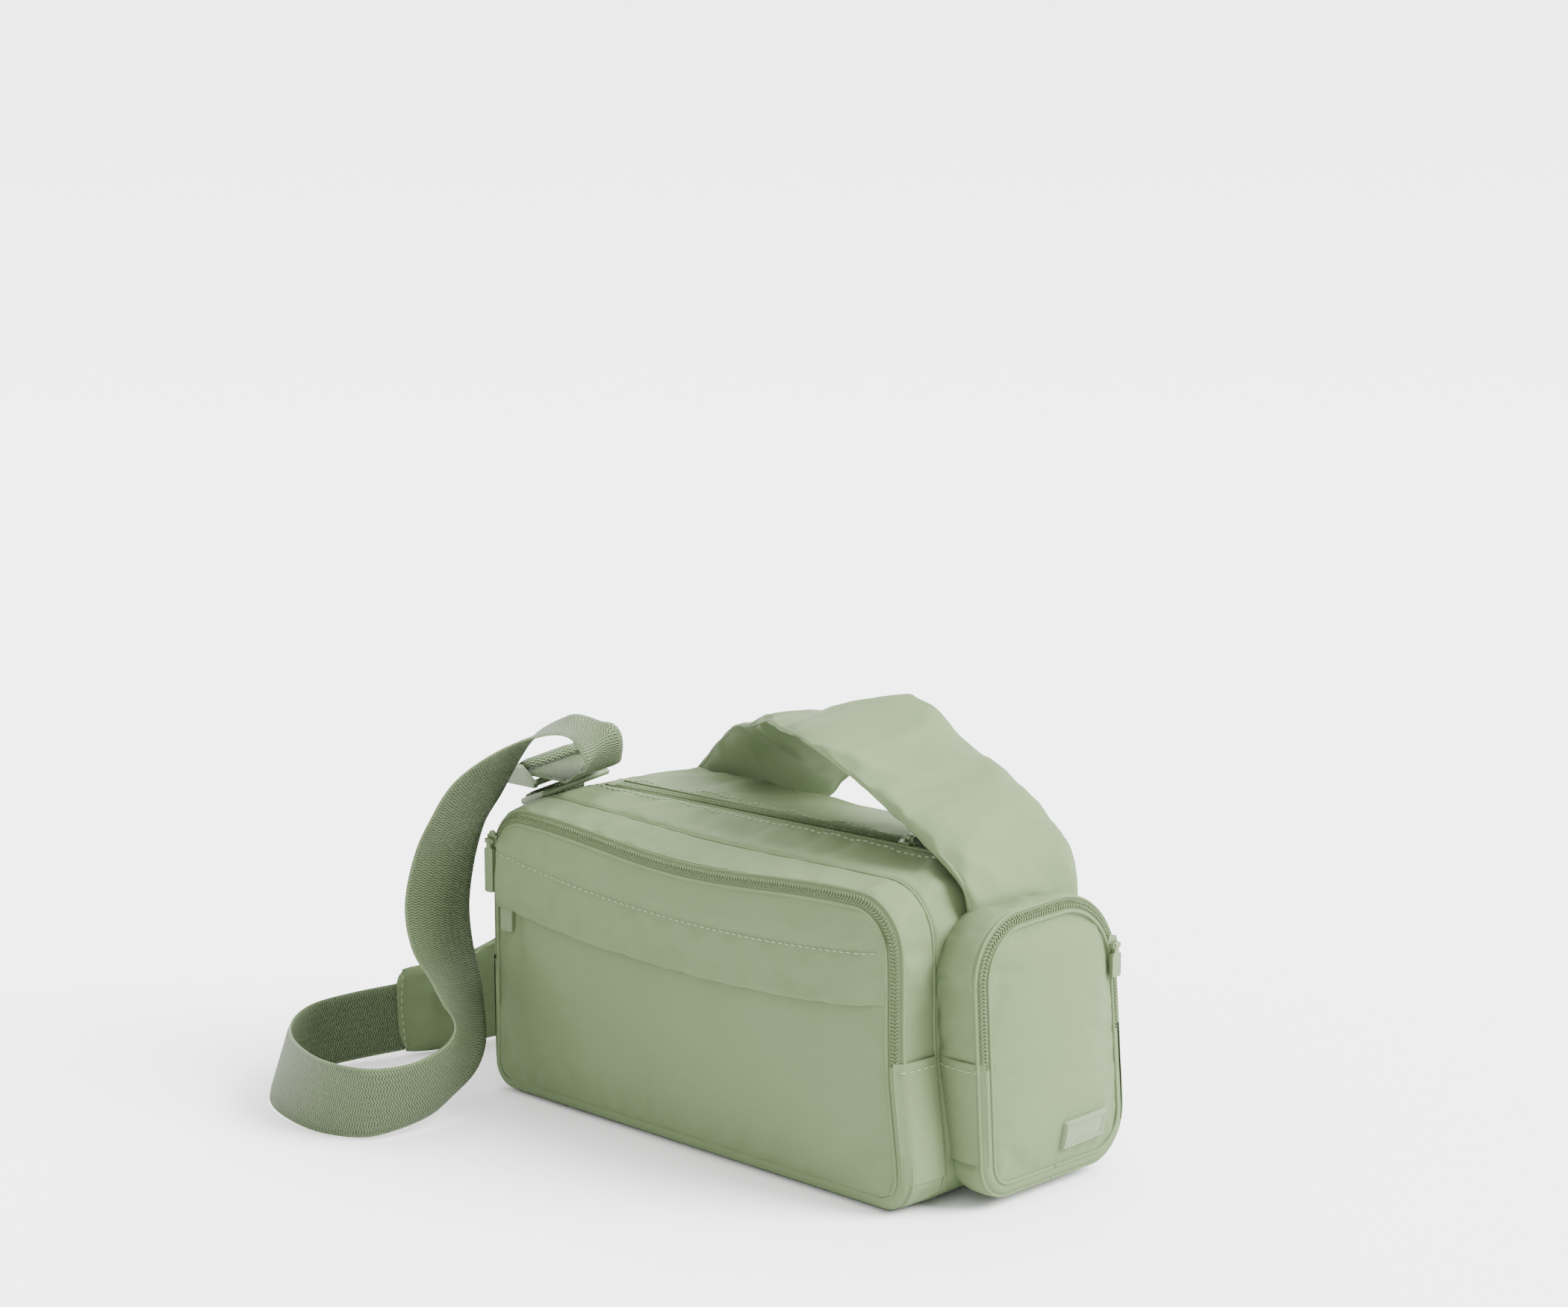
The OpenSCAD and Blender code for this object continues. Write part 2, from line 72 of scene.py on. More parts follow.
class Nodes:
    """A short way to write a node tree."""

    def __init__(self, name):
        self.material = bpy.data.materials.new(name)
        self.material.use_nodes = True
        self.tree = self.material.node_tree
        self.shader = self.tree.nodes["Principled BSDF"]
        self.place = self.add("ShaderNodeTexCoord").outputs["Object"]

    def add(self, kind, **values):
        node = self.tree.nodes.new(kind)
        for key, value in values.items():
            if hasattr(node, key):
                setattr(node, key, value)
            else:
                node.inputs[key.replace("_", " ")].default_value = value
        return node

    def link(self, a, b):
        self.tree.links.new(a, b)

    def put(self, value, socket):
        """Feeds a socket from another node, or sets it to a number or a colour."""
        if isinstance(value, (int, float)):
            socket.default_value = value
        elif isinstance(value, tuple):
            socket.default_value = (*value, 1)
        else:
            self.link(value, socket)

    def noise(self, scale, detail=3.0, rough=0.5, vector=None):
        node = self.add("ShaderNodeTexNoise", Scale=scale, Detail=detail, Roughness=rough)
        self.link(vector or self.place, node.inputs["Vector"])
        return node.outputs["Fac"]

    def wave(self, scale, direction="DIAGONAL", distortion=0.0, vector=None):
        node = self.add("ShaderNodeTexWave", Scale=scale, Distortion=distortion, bands_direction=direction)
        node.inputs["Detail Scale"].default_value = 2.0
        self.link(vector or self.place, node.inputs["Vector"])
        return node.outputs["Fac"]

    def math(self, kind, a, b=0.5):
        node = self.add("ShaderNodeMath", operation=kind)
        self.put(a, node.inputs[0])
        self.put(b, node.inputs[1])
        return node.outputs[0]

    def mix(self, fac, a, b):
        node = self.add("ShaderNodeMix", data_type="RGBA")
        self.put(fac, node.inputs["Factor"])
        self.put(a, node.inputs[6])
        self.put(b, node.inputs[7])
        return node.outputs[2]

    def ramp(self, fac, lo, hi):
        node = self.add("ShaderNodeMapRange")
        node.inputs["From Min"].default_value = lo
        node.inputs["From Max"].default_value = hi
        self.link(fac, node.inputs["Value"])
        return node.outputs["Result"]

    def bump(self, layers):
        """layers is [(height, strength, distance in mm), ...], coarse to fine."""
        normal = None
        for height, strength, distance in layers:
            node = self.add("ShaderNodeBump", Strength=strength, Distance=distance * 0.001)
            self.link(height, node.inputs["Height"])
            if normal:
                self.link(normal, node.inputs["Normal"])
            normal = node.outputs["Normal"]
        self.link(normal, self.shader.inputs["Normal"])

    def shade(self, colour, rough, sheen=0.0, coat=0.0, specular=0.5):
        self.put(colour, self.shader.inputs["Base Color"])
        self.put(rough, self.shader.inputs["Roughness"])
        self.shader.inputs["Sheen Weight"].default_value = sheen
        self.shader.inputs["Sheen Roughness"].default_value = 0.4
        self.shader.inputs["Coat Weight"].default_value = coat
        self.shader.inputs["Specular IOR Level"].default_value = specular
        return self.material


def tone(colour, k):
    return tuple(min(1.0, c * k) for c in colour)


SAGE = (0.106, 0.144, 0.071)
CLOTH_SPECULAR = 0.08


def make_twill(name, colour, rough=0.64, sheen=0.015, crease=0.5):
    """Smooth nylon with a fine diagonal twill, faint blotches and faint creases."""
    n = Nodes(name)
    blotch = n.noise(14, 4, 0.6)
    grain = n.noise(2600, 2, 0.5)
    twill = n.wave(760, "DIAGONAL", 0.6)
    soft = n.mix(n.ramp(blotch, 0.3, 0.7), tone(colour, 0.965), tone(colour, 1.03))
    fine = n.mix(n.math("MULTIPLY", twill, 0.22), soft, tone(colour, 0.66))
    n.bump([(n.noise(38, 3, 0.45), 0.28 * crease, 2.2), (n.noise(170, 2, 0.5), 0.1, 0.5),
            (twill, 0.3, 0.1), (grain, 0.2, 0.09)])
    uneven = n.math("ADD", n.math("MULTIPLY", grain, 0.1), rough - 0.05)
    return n.shade(fine, uneven, sheen, 0, CLOTH_SPECULAR)


def make_tape(name, colour, scale=900):
    n = Nodes(name)
    rib = n.wave(scale, "DIAGONAL")
    n.bump([(rib, 0.5, 0.16), (n.noise(1800, 2), 0.25, 0.08)])
    ribbed = n.mix(n.math("MULTIPLY", rib, 0.35), colour, tone(colour, 0.66))
    return n.shade(ribbed, 0.7, 0.02, 0, CLOTH_SPECULAR)


WEB_WIDTH, WEB_THICK = 32, 1.5


def make_webbing(name, colour):
    """Woven band: picks across it in chevrons, warp lines and a brighter selvedge. It reads the mesh's
    u and v, in mm across and along the band."""
    n = Nodes(name)
    at = n.add("ShaderNodeAttribute", attribute_name="weave").outputs["Vector"]
    split = n.add("ShaderNodeSeparateXYZ")
    n.link(at, split.inputs[0])
    u, v = split.outputs[0], split.outputs[1]
    across = n.math("PINGPONG", u, 1.6)
    rib = n.math("SINE", n.math("MULTIPLY", n.math("ADD", v, n.math("MULTIPLY", across, 0.55)), 5.2))
    warp = n.math("SINE", n.math("MULTIPLY", u, 7.85))
    edge = n.ramp(n.math("ABSOLUTE", u, 0), WEB_WIDTH / 2 - 1.4, WEB_WIDTH / 2 - 0.6)
    weave = n.math("MULTIPLY", rib, n.math("ADD", n.math("MULTIPLY", warp, 0.35), 0.75))
    shade = n.mix(n.ramp(weave, -0.8, 0.8), tone(colour, 0.3), tone(colour, 1.5))
    shade = n.mix(n.math("MULTIPLY", edge, 0.5), shade, tone(colour, 1.7))
    n.bump([(weave, 0.9, 0.45), (n.noise(2200, 2), 0.3, 0.1)])
    return n.shade(shade, 0.55, 0.02, 0, 0.2)


def make_plastic(name, colour):
    n = Nodes(name)
    n.bump([(n.noise(420, 3), 0.06, 0.1), (n.noise(2400, 2), 0.08, 0.03)])
    mottled = n.mix(n.noise(60, 2), tone(colour, 0.97), tone(colour, 1.03))
    return n.shade(mottled, n.math("ADD", n.math("MULTIPLY", n.noise(200), 0.12), 0.4), 0, 0.03, 0.3)


def make_rubber(name, colour):
    n = Nodes(name)
    n.bump([(n.noise(900, 3), 0.25, 0.08)])
    return n.shade(n.mix(n.noise(80, 2), tone(colour, 0.95), tone(colour, 1.04)), 0.62, 0.15)


def make_thread(name, colour):
    n = Nodes(name)
    n.bump([(n.wave(2200, "DIAGONAL"), 0.4, 0.06)])
    return n.shade(n.mix(n.noise(500), tone(colour, 0.9), tone(colour, 1.1)), 0.5, 0.5)


def make_floor(name):
    n = Nodes(name)
    n.bump([(n.noise(6, 2), 0.01, 1)])
    return n.shade((0.9, 0.9, 0.9), 0.75, 0, 0, 0.1)


cloth = make_twill("body_fabric", SAGE)
cloth_pad = make_twill("strap_fabric", tone(SAGE, 1.06), 0.64, 0.015, 0.6)
cloth_dark = make_twill("lining_fabric", tone(SAGE, 0.72), 0.7, 0.02)
tape_mat = make_tape("zip_tape", tone(SAGE, 0.96))
coil_mat = make_tape("zip_coil", tone(SAGE, 0.88), 500)
web_mat = make_webbing("webbing", tone(SAGE, 0.88))
plastic = make_plastic("green_plastic", tone(SAGE, 0.95))
rubber = make_rubber("rubber_trim", SAGE)
thread_mat = make_thread("thread", tone(SAGE, 1.5))
floor_mat = make_floor("floor")


# ---------------------------------------------------------------- mesh helpers

def link(name, verts, faces, material, body="root"):
    """Makes a smooth object from vertices in mm, on one of the CAD's bodies."""
    mesh = bpy.data.meshes.new(name)
    mesh.from_pydata([tuple(v) for v in np.asarray(verts) * 0.001], [], faces)
    mesh.validate()
    mesh.update()
    obj = bpy.data.objects.new(name, mesh)
    scene.collection.objects.link(obj)
    mesh.materials.append(material)
    mesh.polygons.foreach_set("use_smooth", [True] * len(mesh.polygons))
    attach(obj, body)
    return obj


def grid_faces(rows, cols, loop_cols=False, flip=False):
    faces = []
    for r in range(rows - 1):
        for c in range(cols if loop_cols else cols - 1):
            a, b = r * cols + c, r * cols + (c + 1) % cols
            faces.append((a, a + cols, b + cols, b) if flip else (a, b, b + cols, a + cols))
    return faces


def end_caps(rows, cols):
    """The two faces that close a grid whose columns form a loop."""
    return [tuple(range(cols)), tuple((rows - 1) * cols + k for k in range(cols))[::-1]]


def catmull(points, steps):
    """A smooth curve through the points."""
    p = np.asarray(points, float)
    last = len(p) - 1
    out = []
    for i in range(last):
        a, b, c, d = p[[max(0, i - 1), i, i + 1, min(last, i + 2)]]
        for t in np.arange(steps) / steps:
            out.append(0.5 * (2 * b + (c - a) * t + (2 * a - 5 * b + 4 * c - d) * t * t
                              + (3 * b - a - 3 * c + d) * t ** 3))
    return np.array([*out, p[-1]])


def run_along(p):
    """Each point's distance along the path."""
    return np.r_[0, np.cumsum(np.linalg.norm(np.diff(p, axis=0), axis=1))]


def path_length(p):
    return float(run_along(p)[-1])


def sample(values, run, places):
    """Rows of values read at places along a run."""
    return np.stack([np.interp(places, run, column) for column in np.asarray(values, float).T], 1)


def resample(points, n):
    run = run_along(points)
    return sample(points, run, np.linspace(0, run[-1], n))


def unit_rows(v):
    return v / (np.linalg.norm(v, axis=-1)[..., None] + 1e-12)


def round_corner(a, corner, b, n):
    """A corner rounded from a to b: a true arc where its two legs are equal."""
    legs = [(p - corner) / np.linalg.norm(p - corner) for p in (a, b)]
    weight = math.sqrt((1 - legs[0] @ legs[1]) / 2)
    t = (np.arange(n) / n)[:, None]
    parts = ((1 - t) ** 2, 2 * weight * t * (1 - t), t ** 2)
    return (parts[0] * a + parts[1] * corner + parts[2] * b) / sum(parts)


def bowed_side(a, b, n, bow=0.0):
    """A side from a to b that bows outwards by bow at its middle."""
    t = (np.arange(n) / n)[:, None]
    d = (b - a) / np.linalg.norm(b - a)
    return a + (b - a) * t + np.array([d[1], -d[0]]) * bow * np.sin(np.pi * t) ** 2


class Outline:
    """Four corners, anticlockwise from the lower right, each rounded over its leg, and the sides between
    them bowed outwards. counts are the points of: half the base, then each corner and the side after it,
    and the other half of the base."""

    def __init__(self, corners, legs, bows, counts):
        c = np.array(corners, float)
        toward = lambda i, j, leg: c[i] + (c[j] - c[i]) / np.linalg.norm(c[j] - c[i]) * leg
        starts = [toward(i, i - 1, legs[i]) for i in range(4)]
        ends = [toward(i, (i + 1) % 4, legs[i]) for i in range(4)]
        middle = (ends[3] + starts[0]) / 2
        parts = [bowed_side(middle, starts[0], counts[0])]
        for i in range(4):
            parts.append(round_corner(starts[i], c[i], ends[i], counts[2 * i + 1]))
            if i < 3:
                parts.append(bowed_side(ends[i], starts[i + 1], counts[2 * i + 2], bows[i]))
        parts.append(bowed_side(ends[3], middle, counts[8]))
        self.loop = np.concatenate(parts)


def middles(counts):
    """The loop index of each corner's middle, in the corners' order."""
    starts = np.cumsum((0,) + counts)
    return [int(starts[k] + counts[k] // 2) for k in (1, 3, 5, 7)]


def spaced(a, b, n):
    """n places from a to b, closer together at the two ends."""
    t = np.linspace(0, 1, n)
    return a + (b - a) * (t - 0.8 * np.sin(2 * np.pi * t) / (2 * np.pi))


def smooth01(x):
    x = np.clip(x, 0, 1)
    return x * x * (3 - 2 * x)


def bell(x, centre, width):
    return np.exp(-((x - centre) / width) ** 2)


def inset(loop, d):
    """A closed 2D loop, counter-clockwise, moved inwards by d."""
    t = unit_rows(np.roll(loop, -1, 0) - np.roll(loop, 1, 0))
    return loop + np.stack([-t[:, 1], t[:, 0]], 1) * d


def frames_along(path, hint=None):
    """Tangents, normals and sideways directions. hint is one normal to start from, or one for each point."""
    p = np.asarray(path, float)
    t = unit_rows(np.gradient(p, axis=0))
    ref = np.array([0, 0, 1.0]) if hint is None else np.asarray(hint, float)
    if ref.ndim == 1:
        if abs(ref @ t[0]) > 0.95:
            ref = np.array([1.0, 0, 0])
        n = np.zeros_like(p)
        v = ref
        for i in range(len(p)):
            v = v - (v @ t[i]) * t[i]
            v /= np.linalg.norm(v) + 1e-12
            n[i] = v
    else:
        n = unit_rows(ref - (ref * t).sum(1)[:, None] * t)
    return t, n, np.cross(t, n)


TUBE_SIDES = 8


def tube(name, path, r, material, rx=None, hint=None):
    """A tube of radius r along path; rx is its radius sideways."""
    p = np.asarray(path, float)
    _, n, b = frames_along(p, hint)
    a = np.linspace(0, 2 * np.pi, TUBE_SIDES, endpoint=False)[None, :, None]
    v = p[:, None] + n[:, None] * np.cos(a) * r + b[:, None] * np.sin(a) * (rx or r)
    faces = grid_faces(len(p), TUBE_SIDES, True)
    faces += [cap[::-1] for cap in end_caps(len(p), TUBE_SIDES)]
    return link(name, v.reshape(-1, 3), faces, material)


def bead_mesh():
    rows, cols = 5, 6
    v = [(0, 0, -1)]
    for i in range(1, rows - 1):
        a = math.pi * i / (rows - 1) - math.pi / 2
        v += [(math.cos(a) * math.cos(2 * math.pi * k / cols), math.cos(a) * math.sin(2 * math.pi * k / cols),
               math.sin(a)) for k in range(cols)]
    v.append((0, 0, 1))
    f = [(0, 1 + (k + 1) % cols, 1 + k) for k in range(cols)]
    for i in range(rows - 3):
        f += [(1 + i * cols + k, 1 + i * cols + (k + 1) % cols, 1 + (i + 1) * cols + (k + 1) % cols,
               1 + (i + 1) * cols + k) for k in range(cols)]
    top = 1 + (rows - 3) * cols
    f += [(top + k, top + (k + 1) % cols, len(v) - 1) for k in range(cols)]
    return np.array(v, float), f


BEAD = bead_mesh()


def beads(name, centres, along, normals, size, material):
    """Small rounded grains: size is half-length along, half-width across, half-height."""
    bv, bf = BEAD
    verts, faces = [], []
    for c, a, n in zip(centres, along, normals):
        a = a / (np.linalg.norm(a) + 1e-12)
        n = n - (n @ a) * a
        n /= np.linalg.norm(n) + 1e-12
        w = np.cross(n, a)
        base = len(verts) * len(bv)
        verts.append(c + bv[:, 2:3] * a * size[0] + bv[:, 0:1] * w * size[1] + bv[:, 1:2] * n * size[2])
        faces += [tuple(i + base for i in f) for f in bf]
    return link(name, np.concatenate(verts), faces, material)


def surface_of(*objs):
    """A tree of the objects' final meshes, in millimetres."""
    graph = bpy.context.evaluated_depsgraph_get()
    verts, faces = [], []
    for o in objs:
        base = len(verts)
        mesh = o.evaluated_get(graph).data
        verts += [v.co * 1000 for v in mesh.vertices]
        faces += [tuple(i + base for i in p.vertices) for p in mesh.polygons]
    return BVHTree.FromPolygons(verts, faces)


def drop(tree, points, toward, reach=40):
    """Points moved along -toward until they meet the surface; returns places and normals."""
    places, normals = [], []
    d = Vector(toward).normalized()
    for p in np.asarray(points, float):
        hit = tree.ray_cast(Vector(p) + d * reach, -d)
        if hit[0] is None:
            hit = tree.find_nearest(Vector(p))
        places.append(hit[0])
        normals.append(hit[1] if hit[1].dot(d) >= 0 else -hit[1])
    return np.array(places), np.array(normals)


def stitches(name, path, normals, pitch=3.7, length=2.7, radius=0.36, lift=0.16):
    """A row of topstitching along a path that lies on a surface."""
    run = run_along(path)
    count = max(2, int(round(run[-1] / pitch)))
    at = (np.arange(count) + 0.5) * run[-1] / count
    n = unit_rows(sample(np.broadcast_to(np.asarray(normals, float), np.shape(path)), run, at))
    along = sample(path, run, at + 0.4) - sample(path, run, at - 0.4)
    return beads(name, sample(path, run, at) + n * lift, along, n, (length / 2, radius, radius), thread_mat)


def coons(bottom, right_, top, left, nu, nv):
    """A grid filled from four edges. bottom and top run left to right, left and right_ run upwards."""
    b, t = resample(bottom, nu), resample(top, nu)
    l, r = resample(left, nv), resample(right_, nv)
    u = np.linspace(0, 1, nu)[None, :, None]
    v = np.linspace(0, 1, nv)[:, None, None]
    return ((1 - v) * b[None] + v * t[None] + (1 - u) * l[:, None] + u * r[:, None]
            - (1 - u) * (1 - v) * b[0] - u * (1 - v) * b[-1] - (1 - u) * v * t[0] - u * v * t[-1])


# ---------------------------------------------------------------- cloth

jobs = []


CLOTH_FRAMES = 20
FLOOR_GAP = 0.0004                         # cloth stays this far above the ground, in metres


def drape(obj, pinned, cap, pressure, grow, bending, soft=None):
    """Queues obj for the cloth run. pinned are its fixed vertices, cap is how far, in mm, any may move,
    and soft scales cap at each vertex."""
    jobs.append((obj, np.array([v.co for v in obj.data.vertices]), cap * 0.001, soft))
    group = obj.vertex_groups.new(name="pin")
    group.add([int(i) for i in pinned], 1.0, "REPLACE")
    m = obj.modifiers.new("cloth", "CLOTH")
    s = m.settings
    s.quality = 6
    s.mass = 0.12
    s.tension_stiffness = s.compression_stiffness = 15
    s.shear_stiffness = 9
    s.bending_stiffness = bending
    s.vertex_group_mass = "pin"
    s.pin_stiffness = 1.0
    s.shrink_min = -grow
    s.effector_weights.gravity = 0
    s.use_pressure = True
    s.uniform_pressure_force = pressure
    m.collision_settings.use_collision = False
    m.collision_settings.use_self_collision = False
    m.point_cache.frame_start, m.point_cache.frame_end = 1, CLOTH_FRAMES


def settle():
    """Runs the queued cloth and keeps its shape, within each job's cap."""
    if not jobs:
        return
    for f in range(1, CLOTH_FRAMES + 1):
        scene.frame_set(f)
    graph = bpy.context.evaluated_depsgraph_get()
    for obj, rest, cap, soft in jobs:
        done = obj.evaluated_get(graph)
        now = np.array([v.co for v in done.data.vertices])
        move = now - rest
        size = np.linalg.norm(move, axis=1)
        limit = cap if soft is None else cap * soft
        scale = np.tanh(size / np.maximum(limit, 1e-9)) * limit / np.maximum(size, 1e-12)
        now = rest + move * scale[:, None]
        now[:, 2] = np.maximum(now[:, 2], FLOOR_GAP)
        obj.modifiers.clear()
        obj.data.vertices.foreach_set("co", now.astype(np.float32).ravel())
        obj.data.update()
    scene.frame_set(1)
    jobs.clear()


# ---------------------------------------------------------------- strap webbing and padded strap

# Each strap's route is a list of (point, direction across the strap, width), chosen as in the CAD
PAD = [
    ((124, 16, 123), (0, 1, 0.1), 66),
    ((116, 16, 134), (0, 1, 0.1), 66),
    ((92, 16, 150), (0, 1, 0.1), 66),
    ((68, 16, 162), (0, 1, 0.1), 66),
    ((42, 18, 174), (0, 1, 0.2), 63),
    ((22, 25, 176), (0.1, 1, 0.1), 60),
    ((0, 36, 168), (0.3, 1, -0.2), 57),
    ((-25, 48, 156), (0.5, 0.8, -0.3), 54),
    ((-52, 60, 142), (0.5, 0.6, -0.6), 54),
    ((-80, 69, 122), (0.4, 0.4, -0.8), 54),
    ((-106, 70, 97), (0.3, 0.2, -0.9), 54),
    ((-130, 62, 74), (0.2, 0.2, -1), 53),
    ((-152, 45, 53), (0.1, 0.1, -1), 51),
    ((-168, 20, 36), (0, 0, -1), 48),
    ((-177, -8, 25), (0, 0, -1), 45),
    ((-181, -32, 22), (0, 0, -1), 43),
    ((-190, -55, 21), (0.1, 0.3, -0.9), 40)]
WEB = [
    ((-189, -52, 19), (0.1, 0.3, -0.9)),
    ((-195, -76, 18), (0, 0.1, -1)),
    ((-197, -98, 17), (-0.1, -0.1, -1)),
    ((-189, -117, 17), (-0.2, -0.2, -1)),
    ((-170, -134, 17), (-0.1, -0.3, -1)),
    ((-146, -144, 17), (0, -0.2, -1)),
    ((-120, -147, 17), (0, 0, -1)),
    ((-98, -140, 18), (-0.1, 0.2, -1)),
    ((-88, -122, 21), (-0.2, 0.6, -0.8)),
    ((-89, -103, 27), (-0.4, 0.7, -0.5)),
    ((-98, -88, 36), (-0.4, 0.8, -0.3)),
    ((-115, -79, 51), (-0.2, 0.9, -0.2)),
    ((-132, -73, 66), (0.1, 1, -0.1)),
    ((-140, -69, 83), (0.2, 1, -0.1)),
    ((-138, -66, 104), (0.1, 1, -0.2)),
    ((-131, -64, 121), (-0.1, 0.9, -0.3)),
    ((-122, -60, 136), (-0.2, 0.9, -0.4)),
    ((-112, -52, 150), (-0.4, 0.9, -0.2)),
    ((-102, -40, 161), (-0.6, 0.8, 0)),
    ((-93, -29, 163), (-0.5, 0.9, 0.1)),
    ((-87, -20, 154), (-0.3, 0.9, 0.1)),
    ((-96, -15, 142), (-0.1, 1, 0.1)),
    ((-106, -14, 140.5), (0, 1, 0.14)),
    ((-124, -14, 140.5), (0, 1, 0.14)),
    ((-139, -14, 140.5), (0, 1, 0.14))]


def band_frames(route, steps):
    """The middle line of a strap, with its directions across and up."""
    centre = catmull([r[0] for r in route], steps)
    _, across, up = frames_along(centre, catmull([r[1] for r in route], steps))
    return centre, across, up


def webbing(name, centre, across, up, width, thick, body="root"):
    """A flat woven band with a rounded selvedge, and its weave's u, v in mm on the mesh."""
    half = width / 2
    us = np.r_[np.linspace(-1, 1, 10), np.linspace(1, -1, 10)]
    top = np.r_[np.ones(10), -np.ones(10)]
    edge = np.clip((1 - np.abs(us)) / 0.07, 0, 1)
    lift = top * thick / 2 * np.sqrt(0.18 + 0.82 * edge)
    verts = centre[:, None] + across[:, None] * (us * half)[None, :, None] + up[:, None] * lift[None, :, None]
    rows, cols = verts.shape[:2]
    faces = grid_faces(rows, cols, True, flip=True) + end_caps(rows, cols)
    obj = link(name, verts.reshape(-1, 3), faces, web_mat, body)
    weave = np.zeros((rows, cols, 3), np.float32)
    weave[:, :, 0] = (us * half)[None]
    weave[:, :, 1] = run_along(centre)[:, None]
    obj.data.attributes.new("weave", "FLOAT_VECTOR", "POINT").data.foreach_set("vector", weave.ravel())
    return obj


web_c, web_a, web_u = band_frames(WEB, 10)
web_c[:, 2] -= 0.7 * smooth01((40 - web_c[:, 2]) / 20)   # its lower edge rests on the ground
strap_webbing = webbing("strap_webbing_band", web_c, web_a, web_u, WEB_WIDTH, WEB_THICK)
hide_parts("strap_webbing")

# The padded strap: a swept cushion with flat sewn edges, swollen by the cloth run
PAD_ROWS = 118
SEWN_IN = ((126, 16, 108), (0, 1, 0.05), 66)   # its hidden start, inside the bag's right end
pad_route = [SEWN_IN] + PAD
rough_c, rough_a, _ = band_frames(pad_route, 8)
rough_run = run_along(rough_c)
span = np.linspace(0, rough_run[-1], PAD_ROWS)
pad_c = resample(rough_c, PAD_ROWS)
pad_w = sample(catmull([[r[2]] for r in pad_route], 8), rough_run, span)[:, 0]
pad_t, pad_a, pad_u = frames_along(pad_c, sample(rough_a, rough_run, span))


def pad_section(n=20):
    """Points round the strap's section: a crowned top and bottom that meet at a thin sewn edge."""
    us = np.cos(np.linspace(0, np.pi, n))
    thick = np.sqrt(np.clip(1 - np.abs(us) ** 6, 0, 1))
    return np.r_[us, us[::-1][1:-1]], np.r_[thick, -thick[::-1][1:-1]]


pad_us, pad_th = pad_section()
pad_run = np.linspace(0, 1, PAD_ROWS) * path_length(pad_c)   # distance from the sewn base, in mm
to_end = pad_run[-1] - pad_run
END_ROUND = 7.0                            # radius of the two corners at the strap's far end
past_round = np.clip(END_ROUND - to_end, 0, END_ROUND)
narrow = END_ROUND - np.sqrt(np.clip(END_ROUND ** 2 - past_round ** 2, 0, None))
pad_half = pad_w / 2 - 0.7 * narrow
ripple = 0.2 * np.sin(pad_run * 0.62) * bell(pad_run, 42, 30)
pad_thick = 1.5 + 3.3 * smooth01(to_end / 20) + ripple
verts = pad_c[:, None] + pad_a[:, None] * (pad_us[None, :, None] * pad_half[:, None, None]) \
    + pad_u[:, None] * (pad_th[None, :, None] * pad_thick[:, None, None])
rows, cols = verts.shape[:2]
faces = grid_faces(rows, cols, True, flip=True) + end_caps(rows, cols)
strap_pad = link("strap_pad_cushion", verts.reshape(-1, 3), faces, cloth_pad)
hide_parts("strap_pad", "strap_anchor")
edge_cols = [0, cols // 2]
pins = [r * cols + c for r in range(rows) for c in edge_cols] + list(range(3 * cols)) \
    + list(range((rows - 3) * cols, rows * cols))
drape(strap_pad, pins, 2.6, pressure=6, grow=0.05, bending=0.2)

# ---------------------------------------------------------------- the bag's shell

def mm_box(node):
    return [[c * 1000 for c in corner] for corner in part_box(node)]


def fixed_rows(rows, cols):
    """The vertices of whole rows of a grid."""
    return {r * cols + c for r in rows for c in range(cols)}


(LEFT_X, _, _), (FOOT_X, BACK_Y, TOP_Z) = mm_box("back_panel")
FACE_Y = mm_box("front_panel")[0][1]
SEAM_Y = mm_box("front_divider")[1][1]     # the seam between the two compartments
FOLD_Z = mm_box("front_gusset_lower")[1][2]  # where the compartment zips end
RIM_Y = FACE_Y + 2.6                       # the front gusset's edge, beside the zip
WAIST_X = -LEFT_X                          # the right end above its wider foot
GROUND = 0.9

BAG_COUNTS = (16, 24, 40, 20, 44, 24, 32, 16, 16)
NL = sum(BAG_COUNTS)
FOOT_RIGHT, TOP_RIGHT, TOP_LEFT, FOOT_LEFT = middles(BAG_COUNTS)
RIGHT_SIDE, LEFT_SIDE = slice(28, 80), slice(168, 204)


def bag_outline(foot, right_drop, left_drop, sag):
    """The bag's outline at one depth: how far its right foot swells, and how far its top corners and the
    middle of its top lie below the back panel's top."""
    corners = [(FOOT_X + foot, GROUND), (WAIST_X - 1, TOP_Z - right_drop), (LEFT_X, TOP_Z - left_drop),
               (LEFT_X, GROUND)]
    return Outline(corners, (16, 21, 22, 12), (-2, -sag, 0), BAG_COUNTS).loop


front_loop = bag_outline(0.3, 8, 4.5, 5.5)
seam_loop = bag_outline(1.8, 5.5, 0.5, 2)
back_loop = bag_outline(0.8, 2, -0.5, 1.3)


def crowned(loop, lift):
    """Lifts the flat of the top, and swells the two ends, by about lift."""
    p = loop.copy()
    x, z = p[:, 0], p[:, 1]
    top = smooth01((z - 100) / 25)
    p[:, 1] += lift * top * smooth01(1.25 - np.abs(x) / 112)
    side = smooth01((z - 8) / 30) * smooth01((118 - z) / 30) * (np.abs(x) > 100)
    p[:, 0] += np.sign(x) * 0.45 * lift * side
    return p


def slack_left(loop, amount):
    """Lets the upper part of the left end hang outwards by amount."""
    p = loop.copy()
    p[:, 0] -= amount * bell(p[:, 1], 98, 30) * (p[:, 0] < -100)
    return p


def between(a, b, t):
    return a * (1 - t) + b * t


